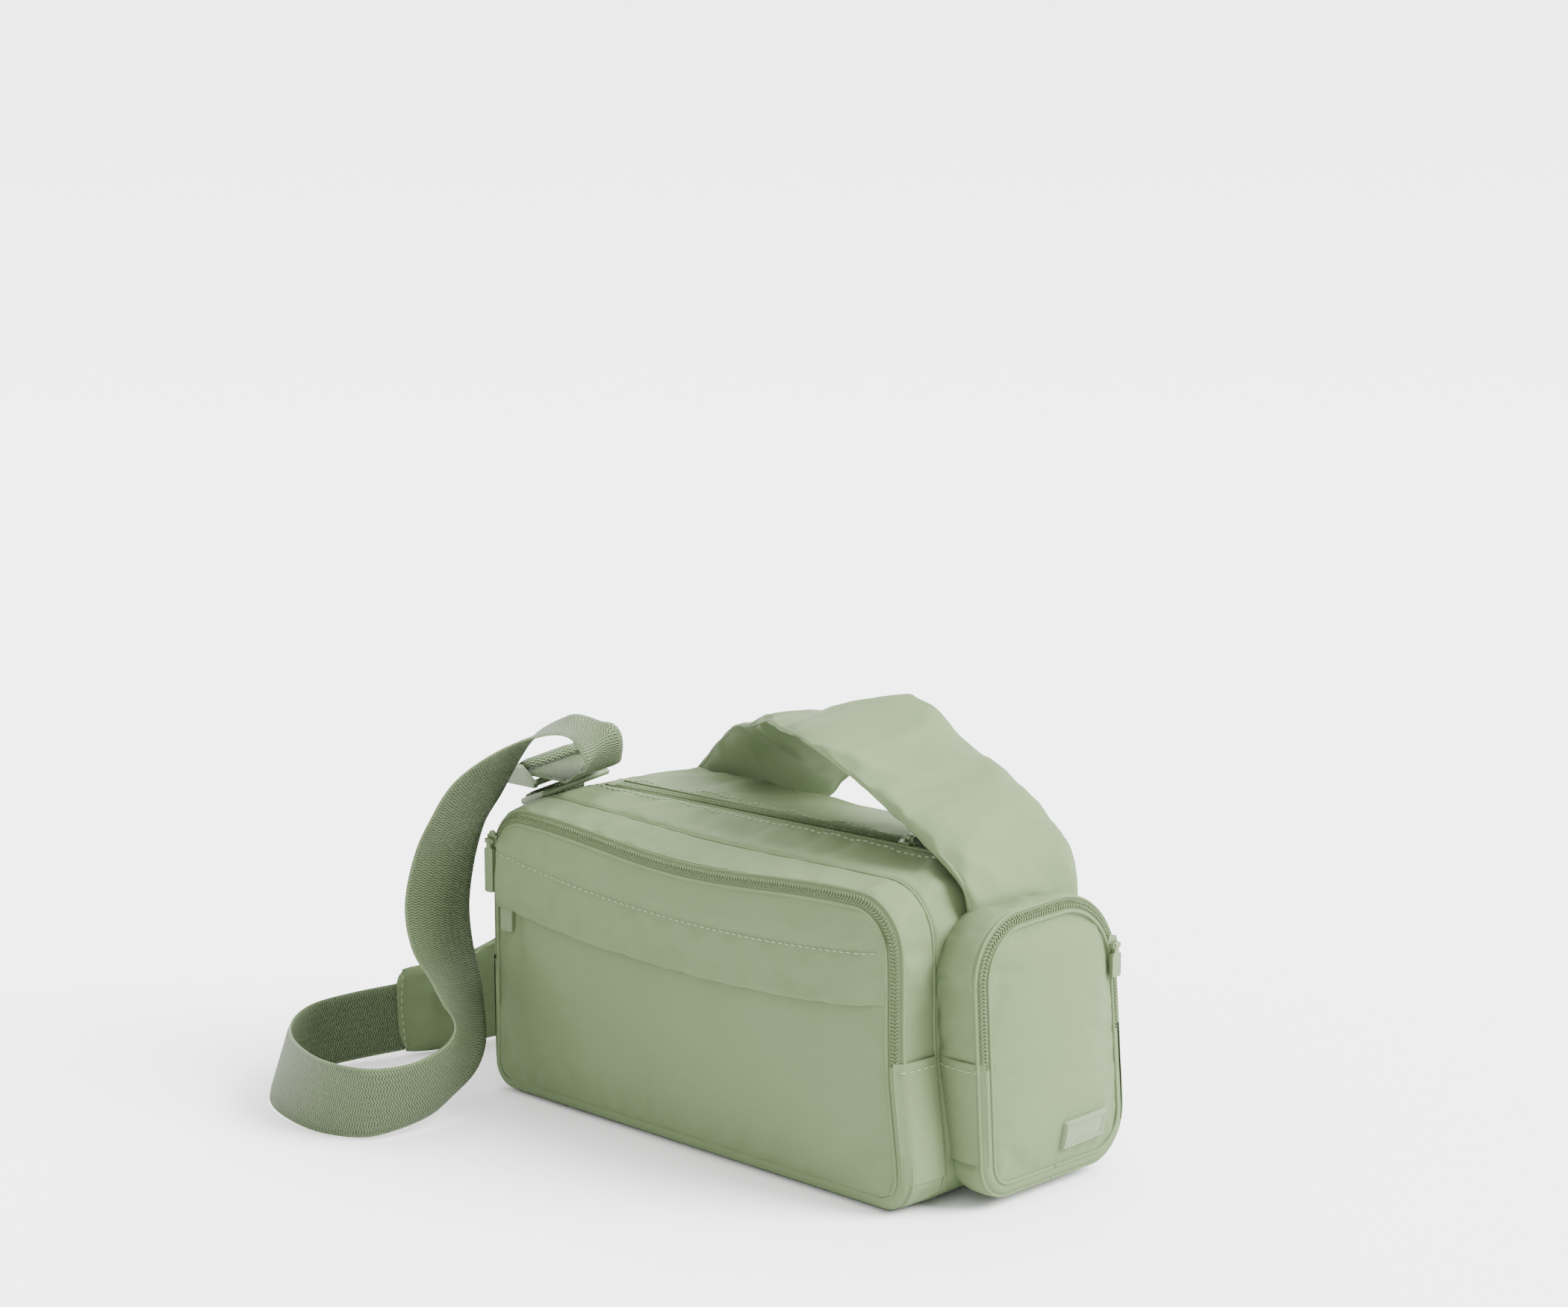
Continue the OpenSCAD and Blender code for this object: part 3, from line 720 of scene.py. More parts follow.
def sewn_tuck(distance, depth, reach):
    """How far cloth turns in at a seam, at a distance from it."""
    return depth * max(0.0, 1 - distance / reach) ** 2


gusset_ys = spaced(RIM_Y, SEAM_Y, 12)
stations = []
for y in gusset_ys:
    t = (y - FACE_Y) / (SEAM_Y - FACE_Y)
    arch = math.sin(math.pi * (y - RIM_Y) / (SEAM_Y - RIM_Y))
    loop = slack_left(crowned(between(front_loop, seam_loop, t), 1.5 * arch), 3.2 * arch ** 0.7)
    stations.append((y, inset(loop, sewn_tuck(SEAM_Y - y, 1.5, 2))))
gusset_grid = np.array([[(p[0], y, p[1]) for p in loop] for y, loop in stations])
gusset = link("front_gusset_cloth", gusset_grid.reshape(-1, 3), grid_faces(len(stations), NL, True), cloth)
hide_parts("front_gusset_upper", "front_gusset_lower")

zip_lo, zip_hi = mm_box("main_zip_coil")
ZIP_Y, ZIP_Z = (zip_lo[1] + zip_hi[1]) / 2, zip_hi[2] + 0.7
SLOT = 5.0                                 # half the width of the channel that the zip lies in
slot_edges = [ZIP_Y + d for d in (-SLOT - 1, -SLOT - 0.4, -SLOT, 0, SLOT, SLOT + 0.4, SLOT + 1)]
shell_ys = [*spaced(SEAM_Y, slot_edges[0] - 1.6, 10), *slot_edges, *spaced(slot_edges[-1] + 2, BACK_Y, 14)]
SLOPE_Y = 27                               # behind this line the shell keeps the back's outline
main_rows = []
for y in shell_ys:
    t = 1 - (max(0.0, SLOPE_Y - y) / (SLOPE_Y - SEAM_Y)) ** 2
    lift = 3.0 * max(0.0, math.sin(math.pi * (y - SEAM_Y) / (BACK_Y - SEAM_Y))) ** 0.5
    tuck = sewn_tuck(y - SEAM_Y, 1.5, 2) + sewn_tuck(BACK_Y - y, 2.8, 4)
    loop = inset(crowned(between(seam_loop, back_loop, t), lift), tuck)
    x, z = loop[:, 0], loop[:, 1]
    top = smooth01((z - 112) / 10)
    # the two panels rise to the zip along one level line, and the zip lies in a shallow channel
    ease = 0.9 * top * bell(y, ZIP_Y, 15) * smooth01((112 - np.abs(x)) / 14)
    channel = smooth01((SLOT + 0.4 - abs(y - ZIP_Y)) / 0.8) * smooth01((100 - np.abs(x)) / 3) * top
    main_rows.append(np.c_[x, np.full(NL, y), between(z, ZIP_Z + 0.1, ease) - 1.9 * channel])
main_grid = np.array(main_rows)
shell = link("main_shell_cloth", main_grid.reshape(-1, 3), grid_faces(len(main_rows), NL, True), cloth)
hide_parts("base_panel", "left_end_panel", "right_end_panel", "top_panel_front", "top_panel_back")
still = [i for i, y in enumerate(shell_ys)
         if y < SEAM_Y + 0.5 or abs(y - ZIP_Y) < SLOT + 3.5 or y > BACK_Y - 1]
base_cols = [c for c in range(NL) if seam_loop[c, 1] < 6]
pins = fixed_rows(still, NL) | {r * NL + c for r in range(len(shell_ys)) for c in base_cols}
calm = 0.15 + 0.85 * smooth01((np.repeat(shell_ys, NL) - SEAM_Y) / 14)
drape(shell, pins, 2.4, pressure=2, grow=0.03, bending=0.35, soft=calm)
last = len(stations) - 1
pins = fixed_rows((0, 1, last - 1, last), NL) | {r * NL + c for r in range(last + 1) for c in base_cols}
calm = 0.15 + 0.85 * smooth01((SEAM_Y - np.repeat(gusset_ys, NL)) / 9)
drape(gusset, pins, 1.3, pressure=1, grow=0.04, bending=0.3, soft=calm)


def face_grid(loop, corners, nu, nv):
    """Fills an outline. corners are the loop indices of the grid's corners, from the one where u and v
    are 0, anticlockwise."""
    n = len(loop)
    side = lambda i, j: loop[np.arange(i, j + 1 if j >= i else j + n + 1) % n]
    a, b, c, d = corners
    return coons(side(a, b), side(b, c), side(c, d)[::-1], side(d, a)[::-1], nu, nv)


def rim(nu, nv):
    return {r * nu + c for r in range(nv) for c in range(nu) if r in (0, nv - 1) or c in (0, nu - 1)}


BAG_CORNERS = (FOOT_LEFT, FOOT_RIGHT, TOP_RIGHT, TOP_LEFT)
BU, BV = 64, 36
back_face = face_grid(inset(back_loop, 2.8), BAG_CORNERS, BU, BV)
bu, bv = np.meshgrid(np.linspace(0, 1, BU), np.linspace(0, 1, BV))
swell = np.sin(np.pi * bu) ** 0.5 * np.sin(np.pi * bv) ** 0.6
back_grid = np.dstack([back_face[..., 0], BACK_Y + 2.2 * swell, back_face[..., 1]])
back = link("back_panel_cloth", back_grid.reshape(-1, 3), grid_faces(BV, BU, flip=True), cloth)
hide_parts("back_panel")
drape(back, rim(BU, BV), 2.5, pressure=1.5, grow=0.02, bending=0.5)

# the front panel, which slackens towards its lower left
BAND = 5.0                                 # width of the compartment zips' bands
fin = inset(front_loop, BAND + 0.6)
NU, NV = 84, 48
front_face = face_grid(fin, BAG_CORNERS, NU, NV)
fu, fv = np.meshgrid(np.linspace(0, 1, NU), np.linspace(0, 1, NV))
fx, fz = front_face[..., 0], front_face[..., 1]
rim_ease = smooth01(np.minimum.reduce([fu * 9, (1 - fu) * 9, fv * 6, (1 - fv) * 6]))
swell = 3.4 * np.sin(np.pi * fu) ** 0.45 * np.sin(np.pi * np.clip(fv * 1.15, 0, 1)) ** 0.5
dent = 1.5 * bell(fx, -78, 30) * bell(fz, 30, 18) + 1.2 * bell(fx, -102, 9) * bell(fz, 62, 20)
crease = 0.7 * np.sin((fx + 118) * 0.09 + (fz - 80) * 0.16) * bell(fx, -104, 26) * bell(fz, 64, 26)
pull_lo, pull_hi = mm_box("flap_zip_pull")
at_pull = bell(fx, (pull_lo[0] + pull_hi[0]) / 2, 9) * bell(fz, (pull_lo[2] + pull_hi[2]) / 2, 15)
fy = FACE_Y - 0.4 - rim_ease * (swell - dent + crease) * (1 - 0.9 * at_pull)
front_grid = np.dstack([fx, fy, fz])
front = link("front_panel_cloth", front_grid.reshape(-1, 3), grid_faces(NV, NU), cloth)
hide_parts("front_panel")
upper_rows = [r for r in range(NV) if front_face[r, NU // 2, 1] > 92]
pins = rim(NU, NV) | fixed_rows(upper_rows, NU)
drape(front, pins, 2.2, pressure=2.2, grow=0.022, bending=0.5, soft=1 - 0.95 * at_pull.ravel())

# the yoke runs down past its topstitching and folds under at the flap's free edge
settle()
flap_lo, flap_hi = mm_box("pocket_flap")


def slack_line(low, low_x, left_rise, right_rise):
    """A line that hangs lowest at low_x and rises towards the bag's two ends."""
    def z(x):
        left = np.maximum(0, (low_x - x) / (low_x - LEFT_X))
        right = np.maximum(0, (x - low_x) / (WAIST_X - low_x))
        return low + left_rise * left ** 2 + right_rise * right ** 2
    return z


stitch_z = slack_line(flap_hi[2] - 6.5, 18, 12, 6.5)
hem_z = slack_line(flap_lo[2], 18, 8.5, 6.5)
top_arc = fin[RIGHT_SIDE.stop - 8:LEFT_SIDE.start + 4]
top_arc = top_arc[np.argsort(top_arc[:, 0])]
W0 = flap_hi[0] + 1                        # half the flap's width
YU = 100
xs = np.linspace(-W0, W0, YU)
zt = np.interp(xs, top_arc[:, 0], top_arc[:, 1])
zs = np.minimum(stitch_z(xs), zt - 0.8)
zh = hem_z(xs)
front_tree = surface_of(front)
# the flap stands off the panel except where it is sewn down, at its two ends
stand = smooth01((W0 - xs) / 14) * smooth01((xs + W0) / 4)


def off_panel(y, z, room):
    """Brings y back to lie on the front panel near the flap's two ends, and keeps it room off elsewhere."""
    p, _ = drop(front_tree, np.c_[xs, np.full(YU, FACE_Y), z], (0, -1, 0))
    return np.minimum(p[:, 1] - room, y) * stand + (p[:, 1] - 0.9) * (1 - stand)


def to_band(z):
    """The row's x, stretched so that its two ends meet the zip band."""
    right_end = np.interp(z[-1], fin[RIGHT_SIDE, 1], fin[RIGHT_SIDE, 0]) + 0.3
    left_end = 0.3 - np.interp(z[0], fin[LEFT_SIDE, 1][::-1], fin[LEFT_SIDE, 0][::-1])
    return xs * np.where(xs > 0, right_end, left_end) / W0


rows_y = []
NS, NF = 9, 11
for k in range(NS):                       # yoke, from the zip down to the stitches
    t = k / (NS - 1)
    z = zt * (1 - t) + zs * t
    puff = math.sin(math.pi * t) ** 0.6 * np.clip((zt - zs) / 18, 0.1, 1) * 2.1
    y = FACE_Y - 0.9 - 3.0 * smooth01(t * 1.1) - puff
    ends = (FACE_Y - 1.3) * (1 - stand) + y * stand
    rows_y.append(np.c_[to_band(z), off_panel(y, z, 0.9) if k > NS // 2 else ends, z])
for k in range(1, NF):                    # flap, from the stitches to its lower edge
    t = k / (NF - 1)
    z = zs * (1 - t) + zh * t
    puff = math.sin(math.pi * min(1, t * 1.05)) ** 0.5 * 1.5
    y = FACE_Y - 3.9 - puff - 1.6 * t
    wave = 0.35 * np.sin(xs * 0.11 + 1.2) * t + 0.2 * np.sin(xs * 0.31) * t
    rows_y.append(np.c_[to_band(z), off_panel(y + wave, z, 0.9 + 2.6 * t), z])
edge_y = rows_y[-1][:, 1]
for dy, dz in ((0.25, -0.55), (0.9, -0.75), (1.3, -0.3), (1.5, 0.8), (2.5, 5), (3.8, 12)):   # its fold
    rows_y.append(np.c_[to_band(zh), edge_y + dy, zh + dz])
yoke_grid = np.array(rows_y)
YR = len(rows_y)
yoke = link("yoke_and_flap_cloth", yoke_grid.reshape(-1, 3), grid_faces(YR, YU, flip=True), cloth)
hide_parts("front_yoke", "pocket_flap")
pins = rim(YU, YR) | fixed_rows((NS - 1, YR - 3, YR - 2), YU)
drape(yoke, pins, 0.8, pressure=1.2, grow=0.012, bending=1.2)

# ---------------------------------------------------------------- side pocket

pocket_lo, pocket_hi = mm_box("side_pocket_panel")
mouth_hi = mm_box("side_gusset_upper")[1]
PX = pocket_hi[0]
ROOT_X = WAIST_X - 1.5                     # where the pocket's gusset is sewn to the bag
RIM_X = PX - 2                             # the gusset's edge, beside the zip
POCKET_COUNTS = (12, 24, 20, 28, 12, 20, 20, 12, 12)
NP = sum(POCKET_COUNTS)
POCKET_BACK, POCKET_TOP_BACK, POCKET_TOP_FRONT, POCKET_FRONT = middles(POCKET_COUNTS)
BACK_SIDE, FRONT_SIDE = slice(26, 60), slice(110, 142)


def pocket_outline(grow, rise):
    """The pocket's outline: narrower at the top, with a wide round shoulder at the back."""
    corners = [(pocket_hi[1] + grow, pocket_lo[2] + 0.8 - rise),
               (pocket_hi[1] - 11.5 + grow, mouth_hi[2] + 2 + rise),
               (pocket_lo[1] - 3.5 - grow, mouth_hi[2] - 1 + rise),
               (pocket_lo[1] + 4 - grow, pocket_lo[2] + 1 - rise)]
    return Outline(corners, (22, 34, 26, 14), (0, 0, 0), POCKET_COUNTS).loop


panel_loop, root_loop = pocket_outline(0, 0), pocket_outline(-2, -2.5)


def fuller(loop, amount):
    """Swells the pocket's outline away from its middle."""
    return loop + unit_rows(loop - np.array([12, 60])) * amount


side_rows = []
for x in [ROOT_X, *spaced(ROOT_X + 2, RIM_X, 11)]:
    t = np.clip((x - ROOT_X - 2) / (PX - ROOT_X - 2), 0, 1)
    arch = math.sin(math.pi * np.clip((x - ROOT_X - 2) / (RIM_X - ROOT_X - 2), 0, 1)) ** 0.8
    loop = fuller(between(root_loop, panel_loop, t), 2.2 * arch - (1.5 if x == ROOT_X else 0))
    slack = 3.4 * bell(loop[:, 1], 98, 24) + 1.8 * bell(loop[:, 1], 32, 18)
    loop[:, 0] += slack * arch * smooth01((loop[:, 0] - 28) / 20)
    loop[:, 1] = np.maximum(loop[:, 1], GROUND)
    side_rows.append(np.c_[np.full(NP, x), loop])
side_grid = np.array(side_rows)
SR = len(side_rows)
side_gusset = link("side_gusset_cloth", side_grid.reshape(-1, 3), grid_faces(SR, NP, True, flip=True), cloth)
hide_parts("side_gusset_upper", "side_gusset_lower")
drape(side_gusset, fixed_rows((0, 1, SR - 2, SR - 1), NP), 1.6, pressure=1.2, grow=0.04, bending=0.3)

pin_loop = inset(panel_loop, BAND + 0.4)
SU, SV = 44, 52
side_face = face_grid(pin_loop, (POCKET_FRONT, POCKET_BACK, POCKET_TOP_BACK, POCKET_TOP_FRONT), SU, SV)
su, sv = np.meshgrid(np.linspace(0, 1, SU), np.linspace(0, 1, SV))
ease = smooth01(np.minimum.reduce([su * 6, (1 - su) * 6, sv * 6, (1 - sv) * 6]))
swell = 3.2 * np.sin(np.pi * su) ** 0.6 * np.sin(np.pi * sv) ** 0.5
panel_grid = np.dstack([PX + 0.1 + ease * swell, side_face[..., 0], side_face[..., 1]])
panel = link("side_pocket_cloth", panel_grid.reshape(-1, 3), grid_faces(SV, SU), cloth)
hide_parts("side_pocket_panel")
drape(panel, rim(SU, SV), 1.6, pressure=1.5, grow=0.015, bending=0.6)

settle()
# the flap stays in front of the panel it covers
clear = np.array([v.co for v in yoke.data.vertices]) * 1000
under, _ = drop(front_tree, np.c_[clear[:, 0], np.full(len(clear), FACE_Y), clear[:, 2]], (0, -1, 0))
clear[:, 1] = np.minimum(clear[:, 1], under[:, 1] - 0.5)
yoke.data.vertices.foreach_set("co", (clear * 0.001).astype(np.float32).ravel())
for o in (shell, gusset, back, front, yoke, side_gusset, panel, strap_pad):
    m = o.modifiers.new("smooth", "SUBSURF")
    m.levels = m.render_levels = 1

# ---------------------------------------------------------------- zips

COIL_PITCH = 1.5


def at_x(x, loop):
    """A (y, z) outline placed at x."""
    return np.c_[np.full(len(loop), x), loop]


def at_y(y, loop):
    """An (x, z) outline placed at y."""
    return np.c_[loop[:, 0], np.full(len(loop), y), loop[:, 1]]


def closed(loop):
    return np.r_[loop, loop[:1]]


def roll(name, path, r, hint=None):
    """A rolled edge of cloth."""
    return tube(name, path, r, cloth, hint=hint)


def zip_band(name, outer, inner, material=tape_mat, crown=0.5):
    """A narrow strip between two lines, slightly crowned. Returns it and its outward normals."""
    t = np.linspace(0, 1, 7)[:, None, None]
    g = between(outer[None], inner[None], t)
    n = unit_rows(np.cross(np.gradient(outer, axis=0), inner - outer))
    if ((outer - g.mean((0, 1))) * n).sum() < 0:
        n = -n
    g = g + n[None] * (np.sin(np.pi * t) * crown)
    return link(name, g.reshape(-1, 3), grid_faces(7, len(outer)), material), n


def coil_rows(name, path, normals, across, offset, size, slant, material=coil_mat):
    """Two rows of slanted coil turns, each offset from the path to one side."""
    run = run_along(path)
    count = int(run[-1] / COIL_PITCH)
    at = (np.arange(count) + 0.5) * run[-1] / count
    c, n, a = (sample(v, run, at) for v in (path, normals, across))
    tangent = unit_rows(sample(path, run, at + 0.5) - sample(path, run, at - 0.5))
    centres = np.concatenate([c + a * offset * side + n * 0.25 for side in (-1, 1)])
    along = np.concatenate([a * side + tangent * slant for side in (-1, 1)])
    return beads(name, centres, along, np.r_[n, n], size, material)


def compartment_zip(tag, outer, inner):
    """A band that turns the corner between a panel and its gusset, with its coil along the middle."""
    band, n = zip_band(tag + "_zip_band", outer, inner)
    across = unit_rows(inner - outer)
    coil_rows(tag + "_zip_coil", (outer + inner) / 2 + n * 0.45, n, across, 0.8, (1.15, 0.5, 0.42), 0.8)
    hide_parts(tag + "_zip_tape")


# front compartment; below the zip's ends the face and the gusset meet in one plain seam
zipped = [k for k in range(FOOT_RIGHT, FOOT_LEFT) if front_loop[k, 1] >= FOLD_Z - 3]
compartment_zip("front", at_y(RIM_Y + 0.2, front_loop[zipped]), at_y(FACE_Y - 0.5, fin[zipped]))
rolled = np.arange(FOOT_RIGHT, LEFT_SIDE.stop - 12)
roll("front_edge_roll", at_y(FACE_Y - 0.7, fin[rolled]), 0.8)
roll("gusset_edge_roll", at_y(RIM_Y + 0.4, inset(front_loop, -0.05)[rolled]), 0.75)
low = [k % NL for k in range(LEFT_SIDE.start, NL + RIGHT_SIDE.stop) if front_loop[k % NL, 1] < FOLD_Z + 1]
zip_band("front_corner_cloth", at_y(RIM_Y + 0.2, front_loop[low]), at_y(FACE_Y - 0.5, fin[low]),
         cloth, 1.3)

# side pocket: the same round its panel
zipped = [k for k in range(POCKET_BACK, POCKET_FRONT) if panel_loop[k, 1] > FOLD_Z - 3]
compartment_zip("side", at_x(RIM_X, panel_loop[zipped]), at_x(PX + 0.2, pin_loop[zipped]))
roll("panel_edge_roll", at_x(PX + 0.2, closed(pin_loop)), 0.8, (1, 0, 0))
roll("side_gusset_roll", at_x(RIM_X + 0.1, closed(panel_loop)), 0.75, (1, 0, 0))
low = [k % NP for k in range(FRONT_SIDE.start, NP + BACK_SIDE.stop) if panel_loop[k % NP, 1] < FOLD_Z + 1]
zip_band("side_corner_cloth", at_x(RIM_X, panel_loop[low]), at_x(PX + 0.2, pin_loop[low]),
         cloth, 0.9)

# main zip: two tapes and a two-row coil along the top
ZIP_HALF, ZN = 97, 120                     # half the zip's length, and the points along it
zx = np.linspace(-ZIP_HALF, ZIP_HALF, ZN)
zline = lambda y, z: np.c_[zx, np.full(ZN, float(y)), np.full(ZN, float(z))]
for tag, y0, y1, rise in (("front", -4.6, -2.6, 0.1), ("back", 4.6, 6.6, -0.1)):
    tape, _ = zip_band("main_tape_" + tag, zline(y0, ZIP_Z + rise), zline(y1, ZIP_Z - rise), crown=0.15)
    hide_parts("main_zip_tape_" + tag)
core = tube("main_zip_core", zline(ZIP_Y, ZIP_Z - 0.5), 0.55, coil_mat, 2.9)
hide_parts("main_zip_coil")
for tag, y in (("front", ZIP_Y - 1.35), ("back", ZIP_Y + 1.35)):
    coil_rows("main_coil_" + tag, zline(y, ZIP_Z - 0.05), np.tile([0, 0, 1.0], (ZN, 1)),
              np.tile([0, 1.0, 0], (ZN, 1)), 0.55, (0.95, 0.4, 0.62), 0.35, tape_mat)

# ---------------------------------------------------------------- seams and topstitching

top_tree = surface_of(shell)


def on_top(half_length, y):
    """A line along the bag at y, dropped on the shell's top."""
    line = np.c_[np.linspace(-half_length, half_length, 90), np.full(90, y), np.full(90, TOP_Z)]
    return drop(top_tree, line, (0, 0, 1))


for tag, y in (("front", -9.2), ("back", 11.2)):
    stitches("main_stitch_" + tag, *on_top(ZIP_HALF + 5, y))
for tag, y in (("front", -4.7), ("back", 6.7)):
    p, n = on_top(ZIP_HALF + 2, y)
    roll("main_fold_" + tag, p + n * 0.1, 0.5, (0, 0, 1))

sx = np.linspace(2 - W0, W0 - 2, 120)
sz = np.minimum(stitch_z(sx), np.interp(sx, xs, zt) - 1) - 0.9
stitches("flap_topstitch", *drop(surface_of(yoke), np.c_[sx, np.full(120, FACE_Y - 4), sz], (0, -1, 0)))


# folded, topstitched ends of the lower gussets, where the zips stop
def side_at(loop, z):
    """Where one side of an outline stands at height z."""
    order = np.argsort(loop[:, 1])
    return np.interp(z, loop[order, 1], loop[order, 0])


def tab_layer(name, grid, outward, low, rise):
    """A folded layer of cloth on a gusset. Its rows run up to the fold; it stands low off the gusset at
    its foot and rise more above that."""
    o = unit_rows(outward)
    g = grid + o * (low + rise * smooth01((grid[:, :1, 2:] - grid[0, 0, 2]) / 20))
    turns = ((0.2, 0.35), (0.65, 0.45), (1.3, 0.2))
    g = np.array([*g, *(g[-1] - o[-1] * back + np.array([0, 0, up]) for back, up in turns)])
    return link(name, g.reshape(-1, 3), grid_faces(len(g), g.shape[1]), cloth)


tab_ys = np.r_[FACE_Y + np.array([0, 0.6, 1.6, 2.8]), np.linspace(FACE_Y + 5, SEAM_Y - 3, 7), SEAM_Y - 1.4]
z, y = np.meshgrid(np.linspace(14, FOLD_Z, 20), tab_ys, indexing="ij")
t = np.clip((y - FACE_Y - 0.5) / (SEAM_Y - FACE_Y - 0.5), 0, 1)
corner = smooth01((FACE_Y + 3.2 - y) / 3.2)
layers = []
for tag, part, side in (("right", RIGHT_SIDE, 1), ("left", LEFT_SIDE, -1)):
    x = between(side_at(front_loop[part], z), side_at(seam_loop[part], z), t)
    x = x + side * (0.6 * np.sin(np.pi * t) - 2.6 * corner)
    outward = np.dstack([side * (1 - 0.75 * corner), -corner, 0 * z])
    layers.append(tab_layer("front_tab_" + tag, np.dstack([x, y, z]), outward, 0.4, 0.35))
line = np.c_[np.linspace(FACE_Y + 0.4, SEAM_Y - 2, 12), np.full(12, FOLD_Z - 3)]
for layer, tag, side in zip(layers, ("right", "left"), (1, -1)):
    p, n = drop(surface_of(layer), at_x(side * (WAIST_X + 1), line), (side, -0.25, 0))
    stitches("front_tab_stitch_" + tag, p, n)

tab_xs = np.r_[WAIST_X + 1.6, np.linspace(WAIST_X + 4, PX - 5, 7), PX - np.array([3, 1.8, 0.8, 0.1])]
z, x = np.meshgrid(np.linspace(20, FOLD_Z, 18), tab_xs, indexing="ij")
t = np.clip((x - WAIST_X) / (PX - WAIST_X - 2), 0, 1)
corner = smooth01((x - PX + 3) / 3)
for tag, part, side in (("front", FRONT_SIDE, -1), ("back", BACK_SIDE, 1)):
    y = between(side_at(root_loop[part], z), side_at(panel_loop[part], z), t)
    y = y + side * (1.9 * np.sin(np.pi * t) - 2.4 * corner)
    outward = np.dstack([corner, side * (1 - 0.75 * corner), 0 * z])
    layer = tab_layer("side_tab_" + tag, np.dstack([x, y, z])[:, ::-side], outward[:, ::-side], 0.3, 0.4)
    line = np.c_[np.linspace(WAIST_X + 2.5, PX - 0.5, 12), np.full(12, side_at(panel_loop[part], FOLD_Z)),
                 np.full(12, FOLD_Z - 3)]
    stitches("side_tab_stitch_" + tag, *drop(surface_of(layer), line, (0.2, side, 0)))

# the seam between the two compartments, and the back seam, each a thin rolled edge
roll("main_seam_roll", at_y(SEAM_Y - 0.4, closed(inset(seam_loop, 0.55))), 0.7)
roll("back_seam_roll", at_y(BACK_Y - 0.4, closed(inset(back_loop, 2.2))), 0.8)

# the padded strap's sewn edges, and the line of stitching across its far end
rest = np.array([v.co for v in strap_pad.data.vertices]).reshape(rows, cols, 3) * 1000
for name, c in (("pad_edge_back", 0), ("pad_edge_front", cols // 2)):
    edge = rest[1:-1, c]
    roll(name, edge + unit_rows(pad_c[1:-1] - edge) * 0.9, 0.9)
pad_tree = surface_of(strap_pad)
SEAM_BACK = 5.0                            # how far the stitching is from the strap's end
end = int(np.argmin(np.abs(to_end - SEAM_BACK)))
across_end = np.linspace(-0.9, 0.9, 24)[:, None] * pad_a[end] * pad_half[end]
bowed = (1 - np.linspace(-1, 1, 24) ** 2)[:, None] * pad_t[end] * 1.5
for name, sign in (("pad_end_stitch_top", 1), ("pad_end_stitch_under", -1)):
    stitches(name, *drop(pad_tree, pad_c[end] + across_end + bowed, pad_u[end] * sign, 6))

# a bar tack on the near edge, where the strap leaves its sewn base
TACK_X = 58
near = int(np.argmin(np.abs(pad_c[:, 0] - TACK_X)))
tack = [pad_c[near] + pad_a[near] * (-pad_half[near] + 3.5 + 0.75 * k) for k in range(9)]
q, qn = drop(pad_tree, tack, pad_u[near], 12)
beads("pad_bar_tack", q + qn * 0.2, np.tile(pad_t[near], (len(q), 1)), qn, (2.4, 0.34, 0.34), thread_mat)

# ---------------------------------------------------------------- patch

(_, Y1, Z1), (_, Y2, Z2) = mm_box("side_patch")
PATCH_RIM, PATCH_SEAM = 1.9, 1.1           # from the edge: to the rim's inner side, and to its stitching
pu = np.r_[0, np.linspace(0.012, 0.988, 44), 1]
pv = np.r_[0, np.linspace(0.03, 0.97, 24), 1]
U, V = np.meshgrid(pu * (Y2 - Y1), pv * (Z2 - Z1))
p, _ = drop(surface_of(panel), at_x(PX + 5, np.c_[Y1 + U.ravel(), Z1 + V.ravel()]), (1, 0, 0))
d = np.minimum.reduce([U, (Y2 - Y1) - U, V, (Z2 - Z1) - V]).ravel()
p[:, 0] += np.where(d <= 0.01, -0.3, 1.9 - 0.7 * smooth01((d - PATCH_RIM) / 0.35)) \
    - 0.35 * bell(d, PATCH_SEAM, 0.3)
patch = link("side_patch_rubber", p, grid_faces(len(pv), len(pu)), rubber)
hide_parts("side_patch")
near_y, far_y, low_z, high_z = Y1 + PATCH_SEAM, Y2 - PATCH_SEAM, Z1 + PATCH_SEAM, Z2 - PATCH_SEAM
ring = closed(np.array([(near_y, low_z), (far_y, low_z), (far_y, high_z), (near_y, high_z)]))
patch_tree = surface_of(patch)
for k in range(4):
    line = ring[k] + (ring[k + 1] - ring[k]) * np.linspace(0.04, 0.96, 24)[:, None]
    q, qn = drop(patch_tree, at_x(PX + 3, line), (1, 0, 0))
    stitches(f"patch_stitch_{k}", q, qn, 2.3, 1.6, 0.24, 0.1)

# ---------------------------------------------------------------- ring tab and strap tail

# the ring, the strap slider and the webbing through it share one tilt about the bag's length
hw_across = np.array(WEB[-1][1]) / np.linalg.norm(WEB[-1][1])
hw_up = np.cross([1.0, 0.0, 0.0], hw_across)
BAR_R = 1.5                                # radius of the ring's and the slider's bars


def folded_band(name, middle, points, width, body, replaced):
    """A woven band folded round a bar at middle; points are (along X, along the hardware's own up)."""
    centre = np.array([middle + np.array([1.0, 0, 0]) * px + hw_up * pz for px, pz in resample(points, 80)])
    tangent = unit_rows(np.gradient(centre, axis=0))
    across = np.tile(hw_across, (len(centre), 1))
    band = webbing(name, centre, across, np.cross(tangent, across), width, 1.4, body=body)
    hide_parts(replaced)


def half_turn(radius, start, stop):
    return [(radius * math.cos(a), radius * math.sin(a)) for a in np.linspace(start, stop, 13)]


